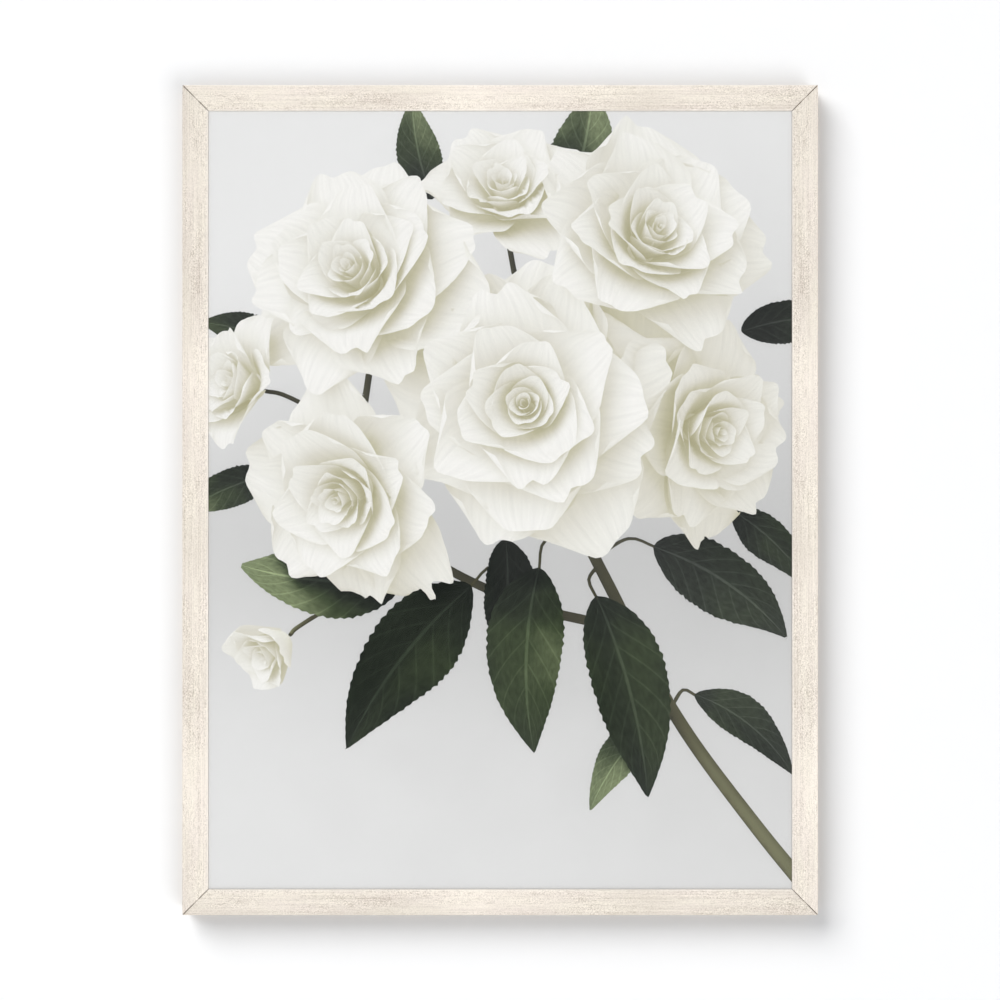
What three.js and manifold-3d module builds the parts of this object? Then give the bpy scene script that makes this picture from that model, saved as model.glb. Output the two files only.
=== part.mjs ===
// Framed print: four mitred wooden rails round an acrylic pane, a printed sheet, boards and fixings.
//
// Millimetres, +Z up. The picture faces -Y and the wall is on the +Y side. The origin is the middle notch
// of the sawtooth hanger, in the plane of the rails' back faces. Inside the root group everything is
// drawn round the middle of the frame: X to the right as seen from the front, Z up, and Y = 0 at the
// rails' back faces.

import * as THREE from 'three';
import { mergeVertices } from 'three/addons/utils/BufferGeometryUtils.js';
import Module from 'manifold-3d';

// ---------------------------------------------------------------- driving dimensions

// A sheet of 18 x 24 inches, a standard print size.
const PRINT_WIDTH = 457.2;
const PRINT_HEIGHT = 609.6;

// The moulding: an L-shaped section whose lip covers the edge of the sheets.
const FRAME_WIDTH = 490;
const FRAME_HEIGHT = 640;
const FRAME_DEPTH = 25;
const FACE_WIDTH = 20;
const LIP_WIDTH = 6;
const LIP_THICKNESS = 2;
const FRONT_EDGE_RADIUS = 0.5;
const BACK_EDGE_CHAMFER = 0.5;
const EDGE_ARC_STEPS = 4;
const MITRE_GAP = 0.3;

// The sheets, from the front to the back. All are binary fractions, so that their faces meet exactly.
const PANE_THICKNESS = 1;
const PRINT_THICKNESS = 0.25;
const FOAM_THICKNESS = 5;
const BACKING_THICKNESS = 3;

// Room left round a fixing where it is let into the wood, and how far a cut starts outside what it cuts.
const CLEARANCE = 0.3;
const OVERSHOOT = 1;

// V-shaped wedges that pull each mitre together, two a corner.
const V_NAIL = {
  legLength: 5,
  thickness: 0.6,
  depth: 9,
  recess: 0.3,
  halfAngle: THREE.MathUtils.degToRad(50),
  apexFromOuterEdge: { outer: 6.2, inner: 12.4 },
};

// Leaf points that hold the backing board: a flat leaf with a pointed end in the rabbet wall.
const POINT = { length: 15, width: 5.5, thickness: 0.5, inWood: 6, tipLength: 3 };
const POINTS_PER_SIDE = { top: 3, right: 4, bottom: 3, left: 4 };
const POINT_CORNER_DISTANCE = 75;

// Sawtooth hanger: a strip with flat nailed ends and a middle that stands off the wood.
const HANGER = {
  length: 46,
  height: 9,
  thickness: 1,
  standOff: 1.5,
  flatEnd: 6,
  rampLength: 3,
  cornerCut: 1.5,
  toothPitch: 2.4,
  toothDepth: 1.4,
  teethEachSide: 5,
  holeRadius: 1.1,
  holeFromEnd: 3,
};
const HANGER_MIDDLE_FROM_TOP = 7;
const NAIL = {
  shankRadius: 0.8,
  inWood: 10,
  tipLength: 1.5,
  headRadius: 2.1,
  headThickness: 1,
  headRim: 0.4,
  domeRadius: 1.47,
  domeEdge: 0.85,
};
const HOLE_SIDES = 16;

// Soft pads at the two lower corners of the back.
const BUMPER = { radius: 5, height: 3, edge: 0.8, edgeBend: 0.24, sides: 32, fromSide: 32 };

// ---------------------------------------------------------------- derived dimensions

const HALF_WIDTH = FRAME_WIDTH / 2;
const HALF_HEIGHT = FRAME_HEIGHT / 2;
const BACK_WIDTH = FACE_WIDTH - LIP_WIDTH;
const FRONT_Y = -FRAME_DEPTH;
const LIP_BACK_Y = FRONT_Y + LIP_THICKNESS;
const PANE_BACK_Y = LIP_BACK_Y + PANE_THICKNESS;
const PRINT_BACK_Y = PANE_BACK_Y + PRINT_THICKNESS;
const FOAM_BACK_Y = PRINT_BACK_Y + FOAM_THICKNESS;
const BACKING_BACK_Y = FOAM_BACK_Y + BACKING_THICKNESS;
const HANGER_MIDDLE_Z = HALF_HEIGHT - HANGER_MIDDLE_FROM_TOP;
const NOTCH_Z = HANGER_MIDDLE_Z - HANGER.height / 2 + HANGER.toothDepth;
const NAIL_FROM_MIDDLE = HANGER.length / 2 - HANGER.holeFromEnd;

// Each side: the turn about Y that takes the bottom rail's place to it, the distance from the middle of
// the frame to its outer edge, and half of its outer length.
const SIDES = {
  bottom: { turn: 0, reach: HALF_HEIGHT, half: HALF_WIDTH },
  right: { turn: -Math.PI / 2, reach: HALF_WIDTH, half: HALF_HEIGHT },
  top: { turn: Math.PI, reach: HALF_HEIGHT, half: HALF_WIDTH },
  left: { turn: Math.PI / 2, reach: HALF_WIDTH, half: HALF_HEIGHT },
};

// ---------------------------------------------------------------- materials

const material = (color, roughness, metalness, more = {}) => new THREE.MeshStandardMaterial({
  color, roughness, metalness, ...more,
});
const champagneWood = () => material(0xece4d9, 0.5, 0.1);
const clearAcrylic = () => material(0xf4f7f8, 0.08, 0, { transparent: true, opacity: 0.2 });
const printedPaper = () => material(0xdcdcd9, 0.8, 0);
const foamCore = () => material(0xf2f1ec, 0.85, 0);
const hardboard = () => material(0x9a6f47, 0.75, 0);
const galvanisedSteel = () => material(0xa7aaad, 0.4, 1);
const brassPlate = () => material(0xc3a15a, 0.35, 1);
const softPad = () => material(0xd9d6cf, 0.9, 0);

// ---------------------------------------------------------------- solids

const wasm = await Module();
wasm.setup();

/** A closed three.js geometry as a solid that can be joined and cut. */
function toSolid(geometry) {
  const bare = geometry.clone();
  bare.deleteAttribute('normal');
  bare.deleteAttribute('uv');
  const merged = mergeVertices(bare);
  return new wasm.Manifold(new wasm.Mesh({
    numProp: 3,
    vertProperties: new Float32Array(merged.attributes.position.array),
    triVerts: new Uint32Array(merged.index.array),
  }));
}

/** A solid as a three.js geometry with flat-shaded faces. */
function toGeometry(solid) {
  const mesh = solid.getMesh();
  const geometry = new THREE.BufferGeometry();
  geometry.setAttribute('position', new THREE.BufferAttribute(new Float32Array(mesh.vertProperties), 3));
  geometry.setIndex(new THREE.BufferAttribute(new Uint32Array(mesh.triVerts), 1));
  geometry.computeVertexNormals();
  return geometry;
}

/** One geometry with the others cut away. */
function cut(geometry, cutters) {
  return toGeometry(cutters.reduce((solid, cutter) => solid.subtract(toSolid(cutter)), toSolid(geometry)));
}

/** A box between two corners. */
function boxBetween([x0, y0, z0], [x1, y1, z1]) {
  return new THREE.BoxGeometry(x1 - x0, y1 - y0, z1 - z0)
    .translate((x0 + x1) / 2, (y0 + y1) / 2, (z0 + z1) / 2);
}

/** An outline in X and Z, extruded along Y from one depth to another. */
function plate(points, fromY, toY) {
  const shape = new THREE.Shape(points.map(([x, z]) => new THREE.Vector2(x, z)));
  // The extrusion runs along +Z. The quarter turn sends Z to -Y and the outline's second axis to Z.
  return new THREE.ExtrudeGeometry(shape, { depth: toY - fromY, bevelEnabled: false })
    .rotateX(Math.PI / 2)
    .translate(0, toY, 0);
}

/** A profile of distances from the axis and heights, turned round the Y axis. */
function turned(profile, sides) {
  return new THREE.LatheGeometry(profile.map(([x, y]) => new THREE.Vector2(x, y)), sides);
}

// ---------------------------------------------------------------- rails

/** The moulding's section, as distance from the outer edge and depth, from the back outer edge round. */
function mouldingSection() {
  const arcY = FRONT_Y + FRONT_EDGE_RADIUS;
  const sightArcX = FACE_WIDTH - FRONT_EDGE_RADIUS;
  const section = new THREE.Shape();
  section.moveTo(0, -BACK_EDGE_CHAMFER);
  section.lineTo(0, arcY);
  section.absarc(FRONT_EDGE_RADIUS, arcY, FRONT_EDGE_RADIUS, Math.PI, 1.5 * Math.PI, false);
  section.lineTo(sightArcX, FRONT_Y);
  section.absarc(sightArcX, arcY, FRONT_EDGE_RADIUS, 1.5 * Math.PI, 2 * Math.PI, false);
  section.lineTo(FACE_WIDTH, LIP_BACK_Y);
  section.lineTo(BACK_WIDTH, LIP_BACK_Y);
  section.lineTo(BACK_WIDTH, 0);
  section.lineTo(BACK_EDGE_CHAMFER, 0);
  return section;
}

/** A length of moulding as the bottom side of the frame, both ends mitred at 45 degrees. */
function mitredMoulding({ reach, half }) {
  const geometry = new THREE.ExtrudeGeometry(mouldingSection(), {
    depth: 1, bevelEnabled: false, curveSegments: EDGE_ARC_STEPS,
  });
  // Section X is the distance from the outer edge, section Y the depth, and the unit extrusion the length.
  const position = geometry.attributes.position;
  const endSetback = (MITRE_GAP / 2) * Math.SQRT2;
  for (let i = 0; i < position.count; i += 1) {
    const fromOuterEdge = position.getX(i);
    const end = position.getZ(i) > 0 ? -1 : 1;
    position.setXYZ(i, end * (half - fromOuterEdge - endSetback), position.getY(i), -reach + fromOuterEdge);
  }
  return geometry;
}

/** The places of a side's points along its rail. */
function pointPlaces(side) {
  const count = POINTS_PER_SIDE[side];
  const span = 2 * (SIDES[side].half - POINT_CORNER_DISTANCE);
  return Array.from({ length: count }, (_, i) => -span / 2 + (span * i) / (count - 1));
}

/** The slot in the rabbet wall that one point's leaf is driven into, on the bottom side. */
function pointSlot(x, reach) {
  const halfSlot = POINT.width / 2 + CLEARANCE;
  const wall = -reach + BACK_WIDTH;
  return boxBetween(
    [x - halfSlot, BACKING_BACK_Y - CLEARANCE, wall - POINT.inWood - CLEARANCE],
    [x + halfSlot, BACKING_BACK_Y + POINT.thickness + CLEARANCE, wall + OVERSHOOT],
  );
}

/** A V-shaped wedge on a corner's mitre, open towards the outside. `grow` widens it into its slot. */
function vNail(cornerX, cornerZ, fromOuterEdge, grow) {
  const { legLength, thickness, depth, recess, halfAngle } = V_NAIL;
  const outward = Math.atan2(Math.sign(cornerZ), Math.sign(cornerX));
  const legs = [-halfAngle, halfAngle].map((angle) => toSolid(
    boxBetween(
      [-thickness / 2 - grow, -depth - recess - grow, -thickness / 2 - grow],
      [legLength + grow, grow > 0 ? OVERSHOOT : -recess, thickness / 2 + grow],
    ).rotateY(-(outward + angle)),
  ));
  return toGeometry(legs[0].add(legs[1])).translate(
    cornerX - Math.sign(cornerX) * fromOuterEdge, 0, cornerZ - Math.sign(cornerZ) * fromOuterEdge,
  );
}

/** The holes for the hanger's nails, in the place of the top rail's back, seen on the bottom side. */
function hangerNailHoles(reach) {
  const radius = NAIL.shankRadius + CLEARANCE;
  const holeDepth = NAIL.inWood + CLEARANCE;
  const middleY = (OVERSHOOT - holeDepth) / 2;
  return [-1, 1].map((end) => new THREE.CylinderGeometry(radius, radius, holeDepth + OVERSHOOT, HOLE_SIDES)
    .translate(end * NAIL_FROM_MIDDLE, middleY, -reach + HANGER_MIDDLE_FROM_TOP));
}

/** One rail with its slots and holes, drawn as the bottom side. */
function rail(side) {
  const { reach, half } = SIDES[side];
  const cutters = pointPlaces(side).map((x) => pointSlot(x, reach));
  for (const end of [-1, 1]) {
    for (const fromOuterEdge of Object.values(V_NAIL.apexFromOuterEdge)) {
      cutters.push(vNail(end * half, -reach, fromOuterEdge, CLEARANCE));
    }
  }
  if (side === 'top') cutters.push(...hangerNailHoles(reach));
  return cut(mitredMoulding(SIDES[side]), cutters);
}

// ---------------------------------------------------------------- fixings

/** A leaf point on the backing board, its tip in the rabbet wall of the bottom side. */
function leafPoint(x, reach) {
  const halfLeaf = POINT.width / 2;
  const tip = -reach + BACK_WIDTH - POINT.inWood;
  const outline = [
    [x, tip],
    [x + halfLeaf, tip + POINT.tipLength],
    [x + halfLeaf, tip + POINT.length],
    [x - halfLeaf, tip + POINT.length],
    [x - halfLeaf, tip + POINT.tipLength],
  ];
  return plate(outline, BACKING_BACK_Y, BACKING_BACK_Y + POINT.thickness);
}

/** The hanger's outline: cut corners above, and teeth along the lower edge. */
function hangerOutline() {
  const { cornerCut, toothPitch, toothDepth, teethEachSide } = HANGER;
  const end = HANGER.length / 2;
  const high = HANGER.height / 2;
  const low = -high;
  const outline = [
    [-end, low], [-end, high - cornerCut], [-end + cornerCut, high],
    [end - cornerCut, high], [end, high - cornerCut], [end, low],
  ];
  // Notches stand at whole pitches from the middle, so that the frame hangs level on the middle one.
  for (let i = teethEachSide; i >= -teethEachSide; i -= 1) {
    outline.push([(i + 0.5) * toothPitch, low], [i * toothPitch, low + toothDepth]);
  }
  outline.push([-(teethEachSide + 0.5) * toothPitch, low]);
  return outline.reverse();
}

/** The hanger's bent strip, as an outline in X and Y: flat ends, ramps and a raised middle. */
function hangerBend() {
  const { thickness, standOff, flatEnd, rampLength } = HANGER;
  const end = HANGER.length / 2;
  const path = [
    [-end, 0], [-end + flatEnd, 0], [-end + flatEnd + rampLength, standOff],
    [end - flatEnd - rampLength, standOff], [end - flatEnd, 0], [end, 0],
  ];
  const back = path.map(([x, y]) => [x, y + thickness]).reverse();
  return new THREE.Shape([...path, ...back].map(([x, y]) => new THREE.Vector2(x, y)));
}

/** The sawtooth hanger: its bent strip, trimmed to its outline and drilled for its nails. */
function sawtoothHanger() {
  const { height, thickness, standOff, holeRadius } = HANGER;
  const depth = height + 2 * OVERSHOOT;
  const strip = new THREE.ExtrudeGeometry(hangerBend(), { depth, bevelEnabled: false })
    .translate(0, 0, -depth / 2);
  const blank = plate(hangerOutline(), -OVERSHOOT, thickness + standOff + OVERSHOOT);
  const drill = 2 * (thickness + OVERSHOOT);
  const holes = [-1, 1].map((end) => new THREE.CylinderGeometry(holeRadius, holeRadius, drill, HOLE_SIDES)
    .translate(end * NAIL_FROM_MIDDLE, 0, 0));
  return cut(toGeometry(toSolid(strip).intersect(toSolid(blank))), holes);
}

/** A nail with a low domed head, its axis along Y and its head's underside on the hanger's flat end. */
function hangerNail() {
  const { shankRadius, inWood, tipLength, headRadius, headThickness, headRim, domeRadius, domeEdge } = NAIL;
  const seat = HANGER.thickness;
  return turned([
    [0, -inWood], [shankRadius, -inWood + tipLength], [shankRadius, seat], [headRadius, seat],
    [headRadius, seat + headRim], [domeRadius, seat + domeEdge], [0, seat + headThickness],
  ], HOLE_SIDES);
}

/** A round pad with a softened edge, standing on the plane Y = 0. */
function bumper() {
  const { radius, height, edge, edgeBend, sides } = BUMPER;
  return turned([
    [0, 0], [radius, 0], [radius, height - edge], [radius - edgeBend, height - edgeBend],
    [radius - edge, height], [0, height],
  ], sides);
}

// ---------------------------------------------------------------- assembly

/** A named mesh in a group, at a place. */
function add(group, name, geometry, finish, [x, y, z] = [0, 0, 0]) {
  const mesh = new THREE.Mesh(geometry, finish);
  mesh.name = name;
  mesh.position.set(x, y, z);
  group.add(mesh);
}

/** A flat sheet of the print's size between two depths. */
function sheet(fromY, toY) {
  return boxBetween([-PRINT_WIDTH / 2, fromY, -PRINT_HEIGHT / 2], [PRINT_WIDTH / 2, toY, PRINT_HEIGHT / 2]);
}

const framedPrint = new THREE.Group();
const frame = new THREE.Group();
frame.position.z = -NOTCH_Z;
framedPrint.add(frame);

for (const [side, { turn, reach }] of Object.entries(SIDES)) {
  const sideGroup = new THREE.Group();
  sideGroup.rotation.y = turn;
  frame.add(sideGroup);
  add(sideGroup, `rail_${side}`, rail(side), champagneWood());
  pointPlaces(side).forEach((x, i) => {
    add(sideGroup, `point_${side}_${i + 1}`, leafPoint(x, reach), galvanisedSteel());
  });
}

for (const [corner, x, z] of [
  ['top_left', -HALF_WIDTH, HALF_HEIGHT], ['top_right', HALF_WIDTH, HALF_HEIGHT],
  ['bottom_left', -HALF_WIDTH, -HALF_HEIGHT], ['bottom_right', HALF_WIDTH, -HALF_HEIGHT],
]) {
  for (const [place, fromOuterEdge] of Object.entries(V_NAIL.apexFromOuterEdge)) {
    add(frame, `v_nail_${corner}_${place}`, vNail(x, z, fromOuterEdge, 0), galvanisedSteel());
  }
}

add(frame, 'glazing_pane', sheet(LIP_BACK_Y, PANE_BACK_Y), clearAcrylic());
add(frame, 'print_sheet', sheet(PANE_BACK_Y, PRINT_BACK_Y), printedPaper());
add(frame, 'foam_board', sheet(PRINT_BACK_Y, FOAM_BACK_Y), foamCore());
add(frame, 'backing_board', sheet(FOAM_BACK_Y, BACKING_BACK_Y), hardboard());

add(frame, 'hanger_sawtooth', sawtoothHanger(), brassPlate(), [0, 0, HANGER_MIDDLE_Z]);
for (const [side, sign] of [['left', -1], ['right', 1]]) {
  const nailX = sign * NAIL_FROM_MIDDLE;
  add(frame, `hanger_nail_${side}`, hangerNail(), brassPlate(), [nailX, 0, HANGER_MIDDLE_Z]);
  const bumperX = sign * (HALF_WIDTH - BUMPER.fromSide);
  add(frame, `bumper_${side}`, bumper(), softPad(), [bumperX, 0, -HALF_HEIGHT + BACK_WIDTH / 2]);
}

export default framedPrint;
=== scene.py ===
"""Dresses the framed print: brushed champagne rails, the printed sheet, its pane, boards, fixings and hanger.

The printed picture is a flowering bough of this script's own design. It is modelled in the round, lit by
a soft sky, and then pressed flat: the sheet's mesh is cut along every outline that shows from the front,
and each corner of each face carries the colour of the ink there.
"""

from __future__ import annotations

import logging
import math
from dataclasses import dataclass, field
from enum import Enum
from functools import partial
from typing import Callable, Sequence

import bpy
import bmesh
import numpy as np
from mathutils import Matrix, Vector
from mathutils.bvhtree import BVHTree
from mathutils.geometry import delaunay_2d_cdt


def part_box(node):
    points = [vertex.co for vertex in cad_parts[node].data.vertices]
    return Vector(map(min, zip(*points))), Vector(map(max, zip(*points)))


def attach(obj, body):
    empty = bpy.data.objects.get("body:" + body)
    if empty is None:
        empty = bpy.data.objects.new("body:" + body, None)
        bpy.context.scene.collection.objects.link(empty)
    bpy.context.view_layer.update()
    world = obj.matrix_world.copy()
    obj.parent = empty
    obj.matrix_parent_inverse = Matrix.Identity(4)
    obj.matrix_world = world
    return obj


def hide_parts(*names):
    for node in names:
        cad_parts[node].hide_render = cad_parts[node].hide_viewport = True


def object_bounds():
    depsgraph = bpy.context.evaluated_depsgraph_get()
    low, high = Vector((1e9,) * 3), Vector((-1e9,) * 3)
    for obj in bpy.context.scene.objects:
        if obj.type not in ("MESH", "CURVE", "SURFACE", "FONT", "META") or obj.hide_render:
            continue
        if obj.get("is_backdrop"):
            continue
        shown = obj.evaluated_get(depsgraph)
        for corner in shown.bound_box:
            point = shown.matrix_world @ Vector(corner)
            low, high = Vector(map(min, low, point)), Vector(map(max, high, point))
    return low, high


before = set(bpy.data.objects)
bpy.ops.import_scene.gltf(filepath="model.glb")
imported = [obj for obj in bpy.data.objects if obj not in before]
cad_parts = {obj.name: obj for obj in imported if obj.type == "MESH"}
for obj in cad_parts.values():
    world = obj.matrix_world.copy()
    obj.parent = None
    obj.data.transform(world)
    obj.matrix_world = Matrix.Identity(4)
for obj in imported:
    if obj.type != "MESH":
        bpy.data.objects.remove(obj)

log = logging.getLogger("framed_print")

MM = 0.001
ROOT = "root"
Array = np.ndarray
Point = tuple[float, float, float]
Node = bpy.types.Node
Socket = bpy.types.NodeSocket
Object = bpy.types.Object
Material = bpy.types.Material
Mesh = bpy.types.Mesh
Tree = bpy.types.NodeTree
Adder = Callable[..., Node]

# ---------- helpers


def linear(colour: str) -> tuple[float, float, float, float]:
    """Turns an sRGB hex colour into the linear colour that a shader takes.

    Args:
        colour: The colour as "#rrggbb".

    Returns:
        Red, green, blue and an alpha of 1.
    """
    parts = (int(colour[i : i + 2], 16) / 255 for i in (1, 3, 5))
    red, green, blue = (p / 12.92 if p <= 0.04045 else ((p + 0.055) / 1.055) ** 2.4 for p in parts)
    return red, green, blue, 1.0


# The property that the second word of a node's kind sets.
MAIN_CHOICE = {
    "Math": "operation", "VectorMath": "operation", "MapRange": "interpolation_type", "Mix": "data_type",
}


def add_node(tree: Tree, kind: str, sockets: dict | None = None, **settings: object) -> Node:
    """Adds a node with its settings and links.

    Args:
        tree: The node tree that takes it.
        kind: The node's type, without the word that its family of types starts with. A second word is the
            node's main choice, such as a Math node's operation.
        sockets: For each input's name or number a value, an output, or a node whose first open output it
            takes.
        **settings: The node's own properties. For a colour ramp, stops holds its positions and sRGB colours.

    Returns:
        The new node.
    """
    kind, _, choice = kind.partition(" ")
    families = (tree.bl_idname.removesuffix("Tree"), "ShaderNode", "FunctionNode", "")
    made = tree.nodes.new(next(family + kind for family in families if hasattr(bpy.types, family + kind)))
    if choice:
        settings[MAIN_CHOICE[kind]] = choice
    stops = settings.pop("stops", ())
    for name, value in settings.items():
        setattr(made, name, value)
    for number, (position, colour) in enumerate(stops):
        elements = made.color_ramp.elements
        element = elements[number] if number < 2 else elements.new(position)
        element.position, element.color = position, linear(colour)
    for key, value in (sockets or {}).items():
        if isinstance(value, Node):
            value = next(output for output in value.outputs if output.enabled)
        if isinstance(value, Socket):
            tree.links.new(value, made.inputs[key])
        else:
            made.inputs[key].default_value = value
    return made


def streaks(add: Adder, placing: dict, **noise: float) -> Node:
    """Noise in a space that is stretched or turned, for grain, fibres and brush lines.

    Args:
        add: Adds a node to the material's tree.
        placing: The Mapping node's inputs. Its scale is the number of streaks in a metre each way.
        **noise: The noise's own inputs.

    Returns:
        The noise.
    """
    return add("TexNoise", {"Vector": add("Mapping", placing), "Scale": 1.0, **noise})


# ---------- the picture, modelled in the round


class Ink(Enum):
    """What a spot of the picture shows."""

    GROUND = 0
    PETAL = 1
    LEAF = 2
    BARK = 3


@dataclass(frozen=True)
class ToneRamp:
    """The inks of one thing, from its darkest shade to its brightest light.

    Args:
        stops: Pairs of an amount of light and the colour that prints it.
    """

    stops: tuple[tuple[float, str], ...]

    def ink(self, light: Array) -> Array:
        """The inks for some light.

        Args:
            light: The amounts of light.

        Returns:
            A linear colour for each.
        """
        at = [amount for amount, _ in self.stops]
        colours = np.array([linear(colour)[:3] for _, colour in self.stops])
        return np.stack([np.interp(light, at, colours[:, i]) for i in range(3)], axis=-1)


@dataclass
class Patch:
    """A thin curved surface of the model: rows of points from its base to its tip, columns across it.

    Args:
        grid: The points as rows, columns and X, Y, Z in millimetres, with Z towards the viewer.
        ink: What the surface is.
        tint: How far its ink leans to the warm green of the base, 0 to 1.
    """

    grid: Array
    ink: Ink
    tint: float = 0.0


def turned_to(facing: Sequence[float], spin: float) -> Array:
    """A rotation that takes +Z to a direction, after a spin about +Z.

    Args:
        facing: The direction to face.
        spin: The spin in radians.

    Returns:
        The rotation as a 3 by 3 array.
    """
    w = np.array(facing, float) / np.linalg.norm(facing)
    side = np.cross([0.0, 1.0, 0.0], w)
    u = side / np.linalg.norm(side)
    v = np.cross(w, u)
    c, s = math.cos(spin), math.sin(spin)
    return np.stack([c * u + s * v, -s * u + c * v, w], axis=1)


@dataclass(frozen=True)
class Petal:
    """One petal, growing round the axis of its bloom. Angles are in degrees, lengths in millimetres.

    Args:
        length: Its length from base to tip.
        width: Its width where it is widest.
        stands_off: The distance of its base from the axis.
        tilt: The angle from the axis at which it leaves its base.
        bend: How far it opens further by its tip.
        wrap: How closely it follows a ring round the axis, 0 to 1.
        cup: How far its sides rise where it doesn't follow the ring.
        roll: How far its rim rolls outwards, as a share of its length.
        ruffle: The height of its waves, as a share of its length.
        notch: The depth of the notch in its tip, as a share of its length.
        rows: Points along it.
        columns: Points across it.
    """

    length: float
    width: float
    stands_off: float
    tilt: float
    bend: float
    wrap: float
    cup: float
    roll: float
    ruffle: float
    notch: float
    rows: int = 17
    columns: int = 15

    SHOULDER = 0.7  # where it is widest and starts to roll, as a share of its length
    ROLLED = 0.3  # the rest of its length
    FOOT = 0.2  # how far up the curve of its sides its base is
    TAPER = 0.62  # what its squared half width loses by the tip
    CORNERS = 0.2  # how far its corners stand back from its tip
    NOTCH_WIDTH = 0.22  # as a share of its half width
    FULL_TURN = 1.9  # the most that a half of it wraps round the axis, in radians
    LEAST_BEND = 0.5

    def grid(self, rng: np.random.Generator) -> Array:
        """The petal's points round the bloom's axis, which is +Z, before its turn about that axis.

        Args:
            rng: Draws the phases of its waves.

        Returns:
            The points as rows, columns and X, Y, Z.
        """
        v = np.linspace(0, 1, self.rows)[:, None]
        u = np.linspace(-1, 1, self.columns)[None, :]
        climb = np.minimum(1, (self.FOOT + (1 - self.FOOT) * v) / self.SHOULDER)
        past = np.clip((v - self.SHOULDER) / (1 - self.SHOULDER), 0, 1)
        half = 0.5 * self.width * np.sin(0.5 * math.pi * climb) ** 1.1 * np.sqrt(1 - self.TAPER * past**2)
        phase = rng.uniform(0, 2 * math.pi, 4)
        edge = 0.025 * np.sin(5 * u + phase[0]) * v**3
        notch = self.notch * np.exp(-((u / self.NOTCH_WIDTH) ** 2)) * v**6
        along = v * (1 - self.CORNERS * np.abs(u) ** 2.2 * v**2) - notch + edge
        waves = np.abs(u) ** 1.5 * np.sin(7 * v + phase[1]) * np.sign(u)
        waves = waves + 0.6 * np.sin(3.4 * u + phase[2]) * v + 0.35 * np.sin(9 * u + phase[3]) * v**4
        tilt = math.radians(self.tilt)
        bend = math.radians(self.bend if abs(self.bend) > self.LEAST_BEND else self.LEAST_BEND)
        angle = tilt + bend * along
        rolled = self.roll * self.length * np.clip((along - self.SHOULDER) / self.ROLLED, 0, 1) ** 2
        swell = self.ruffle * self.length * waves * v**1.5
        ring = self.stands_off + self.length * (math.cos(tilt) - np.cos(angle)) / bend + rolled
        ring = ring - swell * np.cos(angle)
        up = self.length * (np.sin(angle) - math.sin(tilt)) / bend + swell * np.sin(angle) - 0.4 * rolled
        across, lift = half * u, self.cup * half * u**2
        nearest = 0.03 * self.length
        arc = self.FULL_TURN * np.tanh(across / (self.FULL_TURN * np.maximum(ring, nearest)))
        flat = 1 - self.wrap
        out = self.wrap * ring * np.cos(arc) + flat * (ring - lift * np.cos(angle))
        aside = self.wrap * ring * np.sin(arc) + flat * across
        return np.stack([out, aside, up + flat * lift * np.sin(angle)], axis=-1)


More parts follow.
